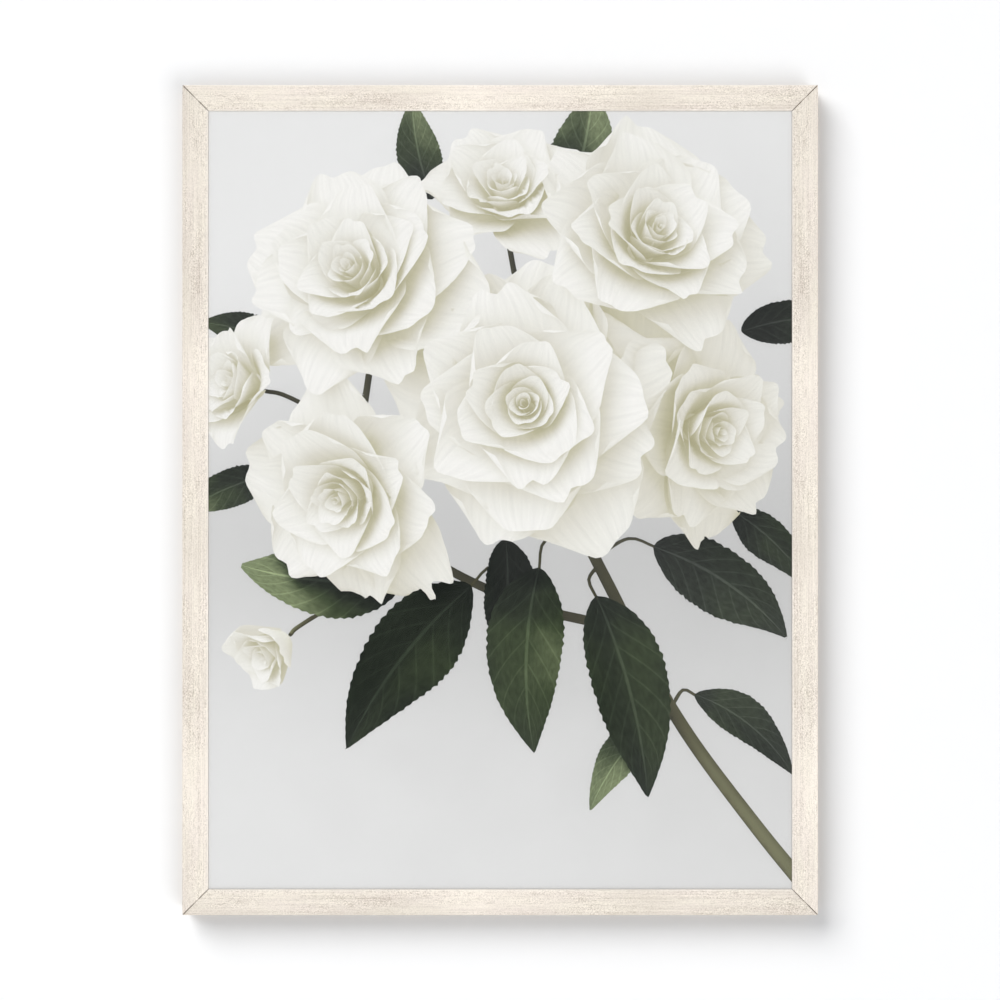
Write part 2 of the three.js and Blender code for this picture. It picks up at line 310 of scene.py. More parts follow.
@dataclass(frozen=True)
class Bloom:
    """A many-petalled blossom: petals furled round its heart, cupped ones outside them, then open ones.

    Args:
        at: The place of its heart.
        facing: The direction it opens to.
        radius: The length of its outermost petals in millimetres.
        petals: How many it has.
        openness: How far they open, 1 in full bloom.
        seed: The seed of their small differences.
    """

    at: Point
    facing: Point
    radius: float
    petals: int = 34
    openness: float = 1.0
    seed: int = 1

    STAGES = (0, 0.22, 0.6, 1)  # heart, furled, cupped and open petals, as shares of the way out
    GOLDEN_ANGLE = math.radians(137.5)
    BASE_WIDTH = 0.2  # as a share of the radius, as are the next two
    BASE_HEIGHT = 0.05
    SINK = 0.24  # how far behind the heart the outermost petals start

    def behind(self, share: float) -> tuple[float, ...]:
        """A point on the axis behind the blossom, at a share of its radius."""
        facing = np.array(self.facing) / np.linalg.norm(self.facing)
        return tuple(np.array(self.at) - share * self.radius * facing)

    def base(self) -> Array:
        """The cone that the petals grow from, which closes the blossom behind its heart.

        Returns:
            Its points as rows, columns and X, Y, Z.
        """
        reach = self.radius * np.linspace(0.002, self.BASE_WIDTH, 4)[:, None]
        turn = np.linspace(0, 2 * math.pi, 13)[None, :]
        height = self.BASE_HEIGHT * self.radius - reach + 0 * turn
        return np.stack([reach * np.cos(turn), reach * np.sin(turn), height], axis=-1)

    def grown(self, t: float, *amounts: float) -> float:
        """What a petal's measure is at a share of the way out, from its amount at each stage."""
        return float(np.interp(t, self.STAGES, amounts))

    def patches(self) -> list[Patch]:
        """The petals, each turned by the golden angle from the last, from the heart out.

        Returns:
            The blossom's base and then its petals.
        """
        rng = np.random.default_rng(self.seed)
        turn = turned_to(self.facing, rng.uniform(0, 2 * math.pi))
        made = [Patch(self.base() @ turn.T + np.array(self.at), Ink.PETAL)]
        for i in range(self.petals):
            t = i / (self.petals - 1)
            grown = partial(self.grown, t)
            length = self.radius * grown(0.4, 0.52, 0.82, 1.0) * (1 + rng.normal(0, 0.04))
            petal = Petal(
                length=length,
                width=length * grown(0.8, 1.05, 1.12, 1.0) * (1 + rng.normal(0, 0.06)),
                stands_off=self.radius * grown(0.01, 0.07, 0.11, 0.13),
                tilt=self.openness * (grown(1, 10, 36, 62) + rng.normal(0, grown(0.5, 1, 3, 4))),
                bend=self.openness * grown(-6, 2, 16, 36) + rng.normal(0, grown(1, 2, 5, 7)),
                wrap=grown(1.0, 0.92, 0.5, 0.2),
                cup=grown(0.8, 0.7, 0.5, 0.3),
                roll=grown(0.03, 0.07, 0.08, 0.04) * rng.uniform(0.5, 1.4),
                ruffle=grown(0.005, 0.012, 0.035, 0.055),
                notch=max(0.0, rng.normal(0.03, 0.03)),
            )
            x, y, z = np.moveaxis(petal.grid(rng), -1, 0)
            azimuth = i * self.GOLDEN_ANGLE + rng.normal(0, 0.13)
            c, s = math.cos(azimuth), math.sin(azimuth)
            local = np.stack([c * x - s * y, s * x + c * y, z - self.radius * self.SINK * t], axis=-1)
            made.append(Patch(local @ turn.T + np.array(self.at), Ink.PETAL, tint=rng.uniform(0, 0.35)))
        return made


@dataclass(frozen=True)
class Leaf:
    """A pointed leaf with a toothed edge. Angles are in degrees.

    Args:
        base: Where the blade starts.
        heading: Its direction in the picture, from the right towards the top.
        length: Base to tip in millimetres.
        joins: Where its stalk leaves the bough, or None for a leaf whose stalk is hidden.
        rise: The angle towards the viewer at its base.
        droop: How far it bends away from the viewer by its tip.
        sweep: How far it turns in the picture by its tip.
        roll: Its turn about its own midrib.
        broad: Its width as a share of its length.
        teeth: How many teeth each side has.
        seed: The seed of its waves.
    """

    base: Point
    heading: float
    length: float
    joins: Point | None = None
    rise: float = 20
    droop: float = 50
    sweep: float = 15
    roll: float = 0
    broad: float = 0.42
    teeth: int = 24
    seed: int = 1

    COLUMNS = 11
    TOOTH = 0.035  # this and the next three are shares of its half width
    WAVE = 0.09
    FOLD = 0.3
    QUILT = 0.02
    RIBS = 9
    STALK = (3.2, 1.8)  # its width in millimetres at the bough and at the blade

    def patches(self) -> list[Patch]:
        """The blade as one patch, and its stalk.

        Returns:
            One patch, or two where a stalk shows.
        """
        rng = np.random.default_rng(self.seed)
        rows = 2 * self.teeth + 1
        v = np.linspace(0, 1, rows)
        heading = np.radians(self.heading + self.sweep * v)
        rise = np.radians(self.rise - self.droop * v)
        ahead = np.cos(rise)
        forward = np.stack([np.cos(heading) * ahead, np.sin(heading) * ahead, np.sin(rise)], axis=-1)
        steps = forward * self.length / (rows - 1)
        midrib = np.array(self.base) + np.concatenate([[[0, 0, 0]], np.cumsum(steps[:-1], axis=0)])
        level = np.stack([-np.sin(heading), np.cos(heading), 0 * heading], axis=-1)
        above = np.cross(forward, level)
        c, s = math.cos(math.radians(self.roll)), math.sin(math.radians(self.roll))
        side, normal = c * level + s * above, c * above - s * level
        u = np.linspace(-1, 1, self.COLUMNS)[None, :]
        outline = np.sin(math.pi * v**0.82) ** 0.85 * (1 - 0.35 * v**3)
        half = 0.5 * self.broad * self.length * outline[:, None]
        jag = np.where(np.arange(rows) % 2, 1, -1)[:, None] * rng.uniform(0.4, 1, (rows, 1))
        reach = half * u * (1 + self.TOOTH * jag * (np.abs(u) > 0.99))
        phase = rng.uniform(0, 2 * math.pi, 2)
        wave = self.WAVE * half * u**2 * np.sin(9 * v[:, None] + phase[0] + 1.2 * np.sign(u))
        fold = self.FOLD * half * (np.abs(u) - 0.35 * u**2)
        ribs = np.sin((v[:, None] - 0.22 * np.abs(u)) * 2 * math.pi * self.RIBS)
        quilt = self.QUILT * half * ribs * np.abs(u)
        lift = (fold + wave + quilt)[..., None]
        grid = midrib[:, None, :] + reach[..., None] * side[:, None, :] + lift * normal[:, None, :]
        blade = Patch(grid, Ink.LEAF, tint=rng.uniform(0, 1))
        if self.joins is None:
            return [blade]
        start, end = np.array(self.joins, float), np.array(self.base, float)
        before = end - 0.45 * np.linalg.norm(end - start) * forward[0]
        inside = end + 0.04 * self.length * forward[0] - 1.6 * normal[0]
        through = (start, before, end - 0.8 * normal[0], inside)
        return [blade, *Twig(tuple(map(tuple, through)), *self.STALK, sides=6).patches()]


@dataclass(frozen=True)
class Twig:
    """A round stem through a few points, thinner towards its end.

    Args:
        through: The points.
        thick: Its width in millimetres at the first point.
        thin: Its width at the last.
        sides: How many sides its skin has.
    """

    through: tuple[Point, ...]
    thick: float
    thin: float
    sides: int = 8

    STEP = 5.0

    def patches(self) -> list[Patch]:
        """The stem's skin as one patch whose columns go round it.

        Returns:
            The patch alone.
        """
        points = np.array(self.through, float)
        ends = np.concatenate([[2 * points[0] - points[1]], points, [2 * points[-1] - points[-2]]])
        path = []
        for a, b, c, d in zip(ends, ends[1:], ends[2:], ends[3:]):
            t = np.linspace(0, 1, max(3, int(np.linalg.norm(c - b) / self.STEP)), endpoint=False)[:, None]
            square, cube = (2 * a - 5 * b + 4 * c - d) * t**2, (3 * b - a - 3 * c + d) * t**3
            path.append(0.5 * (2 * b + (c - a) * t + square + cube))
        path = np.concatenate(path + [points[-1:]])
        along = np.gradient(path, axis=0)
        along /= np.linalg.norm(along, axis=1)[:, None]
        side = np.cross(along, [0.0, 0.0, 1.0])
        side /= np.linalg.norm(side, axis=1)[:, None]
        front = np.cross(side, along)
        turn = np.linspace(0, 2 * math.pi, self.sides + 1)[None, :, None]
        radius = np.linspace(self.thick, self.thin, len(path))[:, None, None] / 2
        ring = np.cos(turn) * side[:, None, :] + np.sin(turn) * front[:, None, :]
        return [Patch(path[:, None, :] + radius * ring, Ink.BARK)]


class Model:
    """All the patches as one set of triangles, with what the light and the press need."""

    def __init__(self, patches: list[Patch]) -> None:
        """Joins the patches.

        Args:
            patches: The surfaces of the model.
        """
        points, faces, owners, places = [], [], [], []
        start = 0
        for number, patch in enumerate(patches):
            rows, columns, _ = patch.grid.shape
            index = start + np.arange(rows * columns).reshape(rows, columns)
            a, b, c, d = index[:-1, :-1], index[:-1, 1:], index[1:, 1:], index[1:, :-1]
            halves = [np.stack(q, axis=-1).reshape(-1, 3) for q in ((a, b, c), (a, c, d))]
            faces.extend(halves)
            owners.append(np.full(2 * len(halves[0]), number))
            u, v = np.meshgrid(np.linspace(-1, 1, columns), np.linspace(0, 1, rows))
            places.append(np.stack([u, v], axis=-1).reshape(-1, 2))
            points.append(patch.grid.reshape(-1, 3))
            start += rows * columns
        self.patches = patches
        self.points, self.faces, self.owner, self.place = map(np.concatenate, (points, faces, owners, places))
        corners = self.points[self.faces]
        area = np.cross(corners[:, 1] - corners[:, 0], corners[:, 2] - corners[:, 0])
        self.faces_viewer = area[:, 2] > 0
        normals = np.zeros_like(self.points)
        for i in range(3):
            np.add.at(normals, self.faces[:, i], area)
        self.normals = normals / np.maximum(np.linalg.norm(normals, axis=1), 1e-9)[:, None]
        self.tree = BVHTree.FromPolygons(self.points.tolist(), self.faces.tolist())

    def evened(self, light: Array) -> Array:
        """The light with each point's amount mixed with its neighbours' on the same patch.

        Args:
            light: An amount for each point of the model.

        Returns:
            The new amounts.
        """
        made, start = [], 0
        for patch in self.patches:
            rows, columns, _ = patch.grid.shape
            padded = np.pad(light[start : start + rows * columns].reshape(rows, columns), 1, mode="edge")
            along = (padded[:-2] + 2 * padded[1:-1] + padded[2:]) / 4
            made.append(((along[:, :-2] + 2 * along[:, 1:-1] + along[:, 2:]) / 4).ravel())
            start += rows * columns
        return np.concatenate(made)


@dataclass(frozen=True)
class SoftSky:
    """A soft sky with a brighter window in it.

    Args:
        directions: How many directions stand for the sky.
        reach: How far down they go, where 1 is to the level of the sheet.
        window: The window's direction.
        window_share: How much of the light comes from round the window.
        tightness: How closely that light keeps to the window.
        start: How far from the surface a ray starts, in millimetres.
        grazing: The least share of a direction's light, by its angle, that is traced.
    """

    directions: int = 60
    reach: float = 1.08
    window: Point = (-0.62, 0.62, 0.48)
    window_share: float = 0.55
    tightness: float = 5.0
    start: float = 0.6
    grazing: float = 0.03

    def rays(self) -> tuple[Array, Array]:
        """The directions, on the viewer's side, and how bright the sky is in each.

        Returns:
            Unit vectors, and amounts whose sum is 1.
        """
        count = self.directions
        k = np.arange(count) + 0.5
        height = 1 - self.reach * k / count
        turn = math.pi * (1 + math.sqrt(5)) * k
        flat = np.sqrt(np.maximum(0, 1 - height**2))
        ways = np.stack([flat * np.cos(turn), flat * np.sin(turn), height], axis=-1)
        window = np.array(self.window) / np.linalg.norm(self.window)
        lobe = np.maximum(0, ways @ window) ** self.tightness
        bright = (1 - self.window_share) / count + self.window_share * lobe / lobe.sum()
        return ways, bright

    def on(self, tree: BVHTree, points: Array, normals: Array) -> tuple[Array, Array]:
        """The light on each point's near side and on its far side.

        Args:
            tree: The surfaces that cast shadows.
            points: The points, in millimetres.
            normals: Their normals, all towards the viewer.

        Returns:
            Two amounts for each point, where 1 is an open surface that faces the viewer.
        """
        ways, bright = self.rays()
        vectors = [Vector(way) for way in ways]
        facing = normals @ ways.T
        sides = np.zeros((2, len(points)))
        for i, (point, normal) in enumerate(zip(points, normals)):
            starts = Vector(point + self.start * normal), Vector(point - self.start * normal)
            for j in np.nonzero(np.abs(facing[i]) > self.grazing)[0]:
                side = 0 if facing[i, j] > 0 else 1
                if tree.ray_cast(starts[side], vectors[j])[0] is None:
                    sides[side, i] += abs(facing[i, j]) * bright[j]
        near, far = sides / float((np.maximum(0, ways[:, 2]) * bright).sum())
        return near, far


@dataclass(frozen=True)
class Bough:
    """The flowering bough: where each bloom, leaf and twig is, in millimetres from the sheet's middle."""

    def blooms(self) -> list[Bloom]:
        """The open blossoms and the half-open ones.

        Returns:
            The blossoms, largest first.
        """
        return [
            Bloom((22, 70, 34), (-0.1, 0.12, 1.0), 108, petals=38, seed=3),
            Bloom((-104, 168, 2), (-0.42, 0.4, 0.85), 96, petals=36, seed=7),
            Bloom((112, 196, -8), (0.34, 0.46, 0.85), 92, petals=34, seed=11),
            Bloom((-112, 8, 8), (-0.5, -0.3, 0.85), 86, petals=32, seed=19),
            Bloom((152, 56, -10), (0.62, -0.12, 0.78), 80, petals=30, seed=23),
            Bloom((4, 232, -34), (-0.05, 0.62, 0.72), 66, petals=24, openness=0.8, seed=29),
            Bloom((-196, 88, -30), (-0.75, 0.2, 0.62), 56, petals=20, openness=0.7, seed=31),
            Bloom((-172, -112, -12), (-0.62, -0.5, 0.5), 44, petals=16, openness=0.5, seed=37),
        ]

    def leaves(self) -> list[Leaf]:
        """The leaves, each with its own bend.

        Returns:
            Those behind the blossoms, then those that hang below them.
        """
        return [
            Leaf((50, 222, -70), 70, 104, broad=0.5, seed=1),
            Leaf((-52, 232, -70), 112, 84, sweep=-22, seed=2),
            Leaf((186, 130, -60), 20, 92, sweep=-30, roll=24, seed=3),
            Leaf((-168, 118, -60), 150, 70, sweep=28, seed=4),
            Leaf((-176, 20, -50), 192, 80, sweep=24, roll=-20, seed=5),
            Leaf((118, -36, -66), -18, 132, (74, -44, -50), sweep=-34, roll=26, broad=0.46, seed=6),
            Leaf((74, -74, -30), -66, 168, (76, -50, -52), sweep=-20, roll=-22, broad=0.4, seed=7),
            Leaf((30, -52, -22), -104, 150, (66, -30, -51), sweep=26, roll=20, broad=0.44, seed=8),
            Leaf((-22, -66, -12), -140, 166, (18, -78, -46), sweep=26, roll=-16, seed=9),
            Leaf((-74, -60, -30), -172, 134, (-40, -46, -44), sweep=-26, roll=18, broad=0.48, seed=10),
            Leaf((176, -6, -50), -30, 96, (90, 4, -56), sweep=-30, roll=34, broad=0.4, seed=11),
            Leaf((150, -150, -66), -20, 104, (132, -160, -56), sweep=-40, roll=-30, broad=0.36, seed=12),
            Leaf((118, -172, -44), -140, 88, (134, -168, -52), sweep=30, roll=28, broad=0.38, seed=13),
            Leaf((4, -30, -34), -84, 96, (66, -28, -46), sweep=-20, roll=-30, broad=0.5, seed=14),
        ]

    def twigs(self) -> list[Twig]:
        """The main branch, a side branch, and what forks from them to each blossom.

        Returns:
            The twigs in that order.
        """
        made = [
            Twig((
                (262, -330, -74), (196, -250, -62), (134, -164, -54), (84, -66, -50), (40, 20, -60),
            ), 12, 8),
            Twig((
                (100, -100, -51), (18, -80, -47), (-60, -40, -42), (-106, 20, -60), (-100, 110, -64),
            ), 8, 5),
        ]
        forks = (
            ((40, 20, -60), 8), ((-100, 110, -64), 5), ((64, 30, -62), 5), ((-106, 20, -60), 5),
            ((74, -44, -50), 5), ((40, 20, -60), 5), ((-108, 50, -60), 4), ((-60, -40, -42), 4),
        )
        for bloom, (start, thick) in zip(self.blooms(), forks):
            made.append(Twig((start, bloom.behind(0.8), bloom.behind(0.34)), thick, 0.8 * thick))
        return made

    def patches(self) -> list[Patch]:
        """Everything on the bough."""
        parts = [*self.twigs(), *self.leaves(), *self.blooms()]
        return [patch for part in parts for patch in part.patches()]


@dataclass(frozen=True)
class PictureInks:
    """The inks of the picture: pale cool greys, whites that turn creamy green in the shade, dark greens.

    Args:
        base_green: What the foot of a petal is tinted with.
        base_light: How bright that tint is.
        base_fade: How many times shorter than the petal its tinted foot is.
        haze: What dims the leaves and twigs that lie far back.
        petal_glow: How much of the light on its far side a petal lets through.
        leaf_glow: The same for a leaf.
        petal_spread: How far the petals differ in light.
        leaf_spread: How far the leaves do.
    """

    petal: ToneRamp = ToneRamp((
        (0.0, "#b1ac8b"), (0.1, "#cdc9b1"), (0.22, "#dfdccf"), (0.4, "#e9e7de"), (0.62, "#f2f1ea"),
        (1.05, "#fbfaf6"),
    ))
    leaf: ToneRamp = ToneRamp((
        (0.0, "#0f120e"), (0.3, "#1a1f1a"), (0.6, "#2a3127"), (0.9, "#424d36"), (1.3, "#84906c"),
    ))
    bark: ToneRamp = ToneRamp(((0.0, "#2c2a22"), (0.5, "#5e5c45"), (1.0, "#90916f"), (1.2, "#b1b394")))
    ground: ToneRamp = ToneRamp(((0.0, "#b7b7b6"), (0.6, "#dadad9"), (1.0, "#f1f1f0")))
    base_green: str = "#d9dab4"
    base_light: float = 1.15
    base_fade: float = 2.2
    haze: str = "#dcdddc"
    petal_glow: float = 0.4
    leaf_glow: float = 0.15
    petal_spread: float = 0.08
    leaf_spread: float = 0.5


@dataclass
class PressedPicture:
    """A flat mesh of the picture, in millimetres from the sheet's middle.

    Args:
        points: X and Z of each vertex.
        faces: Vertices of each triangle.
        ink: The colour at each corner of each triangle.
        place: Across and along the petal or leaf that the corner lies on.
        kind: What each triangle shows, as an Ink value.
    """

    points: Array
    faces: Array
    ink: Array
    place: Array
    kind: Array


def half_edges(faces: Array) -> Array:
    """The three edges of each triangle, as pairs of vertices in the face's turn."""
    return np.concatenate([faces[:, [0, 1]], faces[:, [1, 2]], faces[:, [2, 0]]])


@dataclass
class PicturePress:
    """Presses the lit model into one flat mesh that is cut along every outline. Lengths are in millimetres.

    Args:
        width: The sheet's width.
        height: Its height.
        spacing: The width of the net that the mesh starts from.
        on_bough: The longest edge on the bough.
        at_outline: The longest edge that crosses an outline.
        halvings: How often such an edge is halved to find the outline.
        inset: How far towards a patch's or a triangle's middle a spot near its rim is taken, as a share.
        ground_depth: The height of the ground behind the bough.
        ground_step: The spacing at which the bough's shadow on the ground is worked out.
    """

    model: Model
    width: float
    height: float
    inks: PictureInks
    sky: SoftSky
    spacing: float = 7.4
    on_bough: float = 3.0
    at_outline: float = 1.0
    halvings: int = 6
    inset: float = 0.06
    ground_depth: float = -120.0
    ground_step: float = 9.0

    FAR = 400.0
    SAME_POINT = 1e-4
    HAZE_DEPTH = 1500
    MOST_HAZE = 0.1
    # The light on the ground, and what it loses under the bough, to the right, in a band and downwards.
    LEVEL = 1.07
    UNDER_BOUGH = 0.25
    TO_RIGHT = 0.1
    IN_BAND = 0.3
    BAND = (-0.05, 0.2)  # its middle and width, as shares of the sheet's height
    DOWNWARDS = 0.14

    def look(self, points: Array) -> tuple[Array, Array]:
        """What shows at each point of the sheet.

        Args:
            points: X and Y of each point.

        Returns:
            The face that shows, or -1 for the ground, and a number for the side of the patch that shows.
        """
        down = Vector((0, 0, -1))
        hits = [self.model.tree.ray_cast(Vector((x, y, self.FAR)), down)[2] for x, y in points.tolist()]
        face = np.array([-1 if hit is None else hit for hit in hits])
        side = np.where(face >= 0, 2 * self.model.owner[face] + self.model.faces_viewer[face], -1)
        return face, side

    def triangulate(self, points: Array, edges: Array | None = None) -> tuple[Array, Array]:
        """A Delaunay mesh of the points that keeps the edges.

        Args:
            points: X and Y of each point.
            edges: Pairs of points, or None.

        Returns:
            The mesh's points, and the corners of each triangle.
        """
        kept = [] if edges is None else edges.tolist()
        made = delaunay_2d_cdt([Vector(p) for p in points.tolist()], kept, [], 0, self.SAME_POINT, False)
        return np.array([tuple(v) for v in made[0]]), np.array(made[2])

    def starting_points(self) -> Array:
        """An even net of points over the sheet, its rim, and points on every patch.

        Returns:
            X and Y of each point.
        """
        w, h = self.width / 2, self.height / 2
        rows = int(round(self.height / (self.spacing * 0.866)))
        columns = int(round(self.width / self.spacing))
        xs, ys = np.linspace(-w, w, columns + 1), np.linspace(-h, h, rows + 1)
        net = [np.stack([xs, np.full_like(xs, y)], axis=-1) for y in (-h, h)]
        for number, y in enumerate(ys[1:-1]):
            inside = xs[1:-1] if number % 2 else 0.5 * (xs[1:] + xs[:-1])
            row = np.concatenate([[-w], inside, [w]])
            net.append(np.stack([row, np.full_like(row, y)], axis=-1))
        for patch in self.model.patches:
            grid = patch.grid[..., :2]
            if patch.ink is Ink.BARK:
                core = grid.mean(axis=1)
                net.append(np.concatenate([core, (core[1:] + core[:-1]) / 2]))
            else:
                middle = grid.reshape(-1, 2).mean(axis=0)
                loop = np.concatenate([grid[:, 0], grid[-1], grid[::-1, -1]])[::2]
                net.append(loop + self.inset * (middle - loop))
        points = np.concatenate(net)
        keep = (np.abs(points[:, 0]) <= w) & (np.abs(points[:, 1]) <= h)
        return np.unique(np.round(points[keep], 3), axis=0)

    @staticmethod
    def edges_of(faces: Array) -> Array:
        """Each edge of the mesh once."""
        return np.unique(np.sort(half_edges(faces), axis=1), axis=0)

    def refined(self) -> tuple[Array, Array, Array]:
        """A net that is finer on the bough, and finest along its outlines.

        Returns:
            Its points, its triangles, and the side of the patch that shows at each point.
        """
        points, faces = self.triangulate(self.starting_points())
        _, side = self.look(points)
        for only_outlines, longest in ((False, self.on_bough), (True, self.at_outline)):
            edges = self.edges_of(faces)
            a, b = side[edges[:, 0]], side[edges[:, 1]]
            wanted = (a != b) if only_outlines else (a >= 0) | (b >= 0)
            long = np.linalg.norm(points[edges[:, 0]] - points[edges[:, 1]], axis=1) > longest
            middle = points[edges[wanted & long]].mean(axis=1)
            points, faces = self.triangulate(np.concatenate([points, middle]))
            _, side = self.look(points)
        return points, faces, side

    def outlined(self) -> tuple[Array, Array]:
        """The net cut along the outlines, each crossing of an edge found by halving.

        Returns:
            Its points and its triangles.
        """
        points, faces, side = self.refined()
        edges = self.edges_of(faces)
        mixed = edges[side[edges[:, 0]] != side[edges[:, 1]]]
        low, high = points[mixed[:, 0]].copy(), points[mixed[:, 1]].copy()
        low_side = side[mixed[:, 0]]
        for _ in range(self.halvings):
            middle = (low + high) / 2
            same = self.look(middle)[1] == low_side
            low[same], high[~same] = middle[same], middle[~same]
        crossing = (low + high) / 2
        number = {tuple(edge): len(points) + i for i, edge in enumerate(mixed.tolist())}
        corners = side[faces]
        split = (corners != corners[:, :1]).any(axis=1)
        segments, centres = [], []
        first_centre = len(points) + len(crossing)
        for face in faces[split].tolist():
            found = [number.get(tuple(sorted((face[i], face[(i + 1) % 3])))) for i in range(3)]
            found = [f for f in found if f is not None]
            if len(found) == 2:
                segments.append(found)
            elif len(found) == 3:
                centre = first_centre + len(centres)
                centres.append(points[face].mean(axis=0))
                segments.extend([f, centre] for f in found)
        everything = np.concatenate([points, crossing, np.array(centres).reshape(-1, 2)])
        return self.triangulate(everything, np.array(segments))

    def press(self) -> PressedPicture:
        """Lights the model and prints it.

        Returns:
            The flat picture.
        """
        model = self.model
        toward = np.where(model.normals[:, 2:] < 0, -1, 1) * model.normals
        near, far = (model.evened(light) for light in self.sky.on(model.tree, model.points, toward))
        log.info("lit %d points", len(model.points))
        points, faces = self.outlined()
        log.info("pressed into %d triangles", len(faces))
        corners = points[faces]
        centre = corners.mean(axis=1)
        hit, side = self.look(centre)
        nudged = (corners + self.inset * (centre[:, None, :] - corners)).reshape(-1, 2)
        corner_hit, corner_side = self.look(nudged)
        stray = corner_side != np.repeat(side, 3)
        corner_hit = np.where(stray, np.repeat(hit, 3), corner_hit)
        spots = np.where(stray[:, None], np.repeat(centre, 3, axis=0), nudged)
        on_bough = corner_hit >= 0
        face = np.where(on_bough, corner_hit, 0)
        share = self.shares(spots, model.points[model.faces[face]][..., :2])
        light, glow, place, points_there = (
            (share[..., None] * values[model.faces[face]].reshape(len(face), 3, -1)).sum(axis=1)
            for values in (near, far, model.place, model.points)
        )
        kinds = np.array([patch.ink.value for patch in model.patches])[model.owner[face]]
        tint = np.array([patch.tint for patch in model.patches])[model.owner[face]]
        ink = self.inked(kinds, light[:, 0], glow[:, 0], place, points_there[:, 2], tint)
        ink = np.where(on_bough[:, None], ink, self.ground(spots))
        kind = np.where(hit >= 0, kinds[::3], Ink.GROUND.value)
        return PressedPicture(points, faces, ink.reshape(-1, 3, 3), place.reshape(-1, 3, 2), kind)

    @staticmethod
    def shares(spots: Array, corners: Array) -> Array:
        """How much each corner of a triangle counts at a spot in it.

        Args:
            spots: One spot for each triangle.
            corners: The triangles' corners.

        Returns:
            Three shares for each triangle, whose sum is 1.
        """
        a, b, c = corners[:, 0], corners[:, 1], corners[:, 2]
        e, f, p = b - a, c - a, spots - a
        whole = e[:, 0] * f[:, 1] - e[:, 1] * f[:, 0]
        whole = np.where(np.abs(whole) < 1e-9, 1e-9, whole)
        second = (p[:, 0] * f[:, 1] - p[:, 1] * f[:, 0]) / whole
        third = (e[:, 0] * p[:, 1] - e[:, 1] * p[:, 0]) / whole
        share = np.clip(np.stack([1 - second - third, second, third], axis=-1), 0, 1)
        return share / share.sum(axis=1)[:, None]

    def inked(
        self, kinds: Array, light: Array, glow: Array, place: Array, depth: Array, tint: Array
    ) -> Array:
        """The ink of the bough for the light on it.

        Args:
            kinds: Ink values.
            light: Light on the side that shows.
            glow: Light on the far side, which shines through petals.
            place: Across and along the patch.
            depth: Height towards the viewer in millimetres.
            tint: Each patch's own shade.

        Returns:
            Linear colours.
        """
        inks = self.inks
        is_petal, is_leaf = ((kinds == ink.value)[:, None] for ink in (Ink.PETAL, Ink.LEAF))
        green, haze_ink = (np.array(linear(colour)[:3]) for colour in (inks.base_green, inks.haze))
        petal = inks.petal.ink(light + inks.petal_glow * glow + inks.petal_spread * (0.5 - tint))
        base = np.clip(1 - place[:, 1] * inks.base_fade, 0, 1)[:, None] * (0.1 + 0.4 * tint)[:, None]
        petal = petal * (1 - base) + petal * base * green * inks.base_light
        leaf = inks.leaf.ink(light * (0.75 + inks.leaf_spread * tint) + inks.leaf_glow * glow)
        ink = np.where(is_petal, petal, np.where(is_leaf, leaf, inks.bark.ink(light)))
        haze = np.clip(-depth / self.HAZE_DEPTH, 0, self.MOST_HAZE)[:, None] * ~is_petal
        return ink * (1 - haze) + haze * haze_ink

    def ground(self, spots: Array) -> Array:
        """The ink of the ground: a soft fall of light and the bough's faint shadow.

        Args:
            spots: X and Y of each spot.

        Returns:
            Linear colours.
        """
        step = self.ground_step
        xs, ys = (
            np.arange(-size / 2 - step, size / 2 + 2 * step, step) for size in (self.width, self.height)
        )
        grid_x, grid_y = np.meshgrid(xs, ys)
        flat = np.stack([grid_x.ravel(), grid_y.ravel(), np.full(grid_x.size, self.ground_depth)], axis=-1)
        up = np.tile([0.0, 0.0, 1.0], (len(flat), 1))
        lit = self.sky.on(self.model.tree, flat, up)[0].reshape(grid_x.shape)
        for _ in range(2):
            padded = np.pad(lit, 1, mode="edge")
            beside = padded[:-2, 1:-1] + padded[2:, 1:-1] + padded[1:-1, :-2] + padded[1:-1, 2:]
            lit = (beside + 2 * lit) / 6
        i, j = (spots[:, 0] - xs[0]) / step, (spots[:, 1] - ys[0]) / step
        i0, j0 = i.astype(int), j.astype(int)
        s, t = i - i0, j - j0
        below, above = (lit[row, i0] * (1 - s) + lit[row, i0 + 1] * s for row in (j0, j0 + 1))
        light = below * (1 - t) + above * t
        x, y = spots[:, 0] / self.width, spots[:, 1] / self.height
        band = np.exp(-(((y - self.BAND[0]) / self.BAND[1]) ** 2))
        fall = self.LEVEL - self.TO_RIGHT * (x + 0.5) - self.IN_BAND * band - self.DOWNWARDS * (0.5 - y)
        return self.inks.ground.ink(fall - self.UNDER_BOUGH * (1 - np.clip(light, 0, 1.05)))


# ---------- finishes


class Side(Enum):
    """A side of the frame, seen from the front."""

    TOP = "top"
    RIGHT = "right"
    BOTTOM = "bottom"
    LEFT = "left"

    @property
    def rail(self) -> str:
        """The CAD node of its rail."""
        return f"rail_{self.value}"

    @property
    def outward(self) -> Vector:
        """The direction from the middle of the frame to this side.

        Returns:
            A unit vector.
        """
        x = {Side.RIGHT: 1, Side.LEFT: -1}.get(self, 0)
        z = {Side.TOP: 1, Side.BOTTOM: -1}.get(self, 0)
        return Vector((x, 0, z))

    @property
    def along(self) -> Vector:
        """The direction along its rail, from its left or its upper end."""
        return Vector((0, 0, -1)) if self.outward.x else Vector((1, 0, 0))


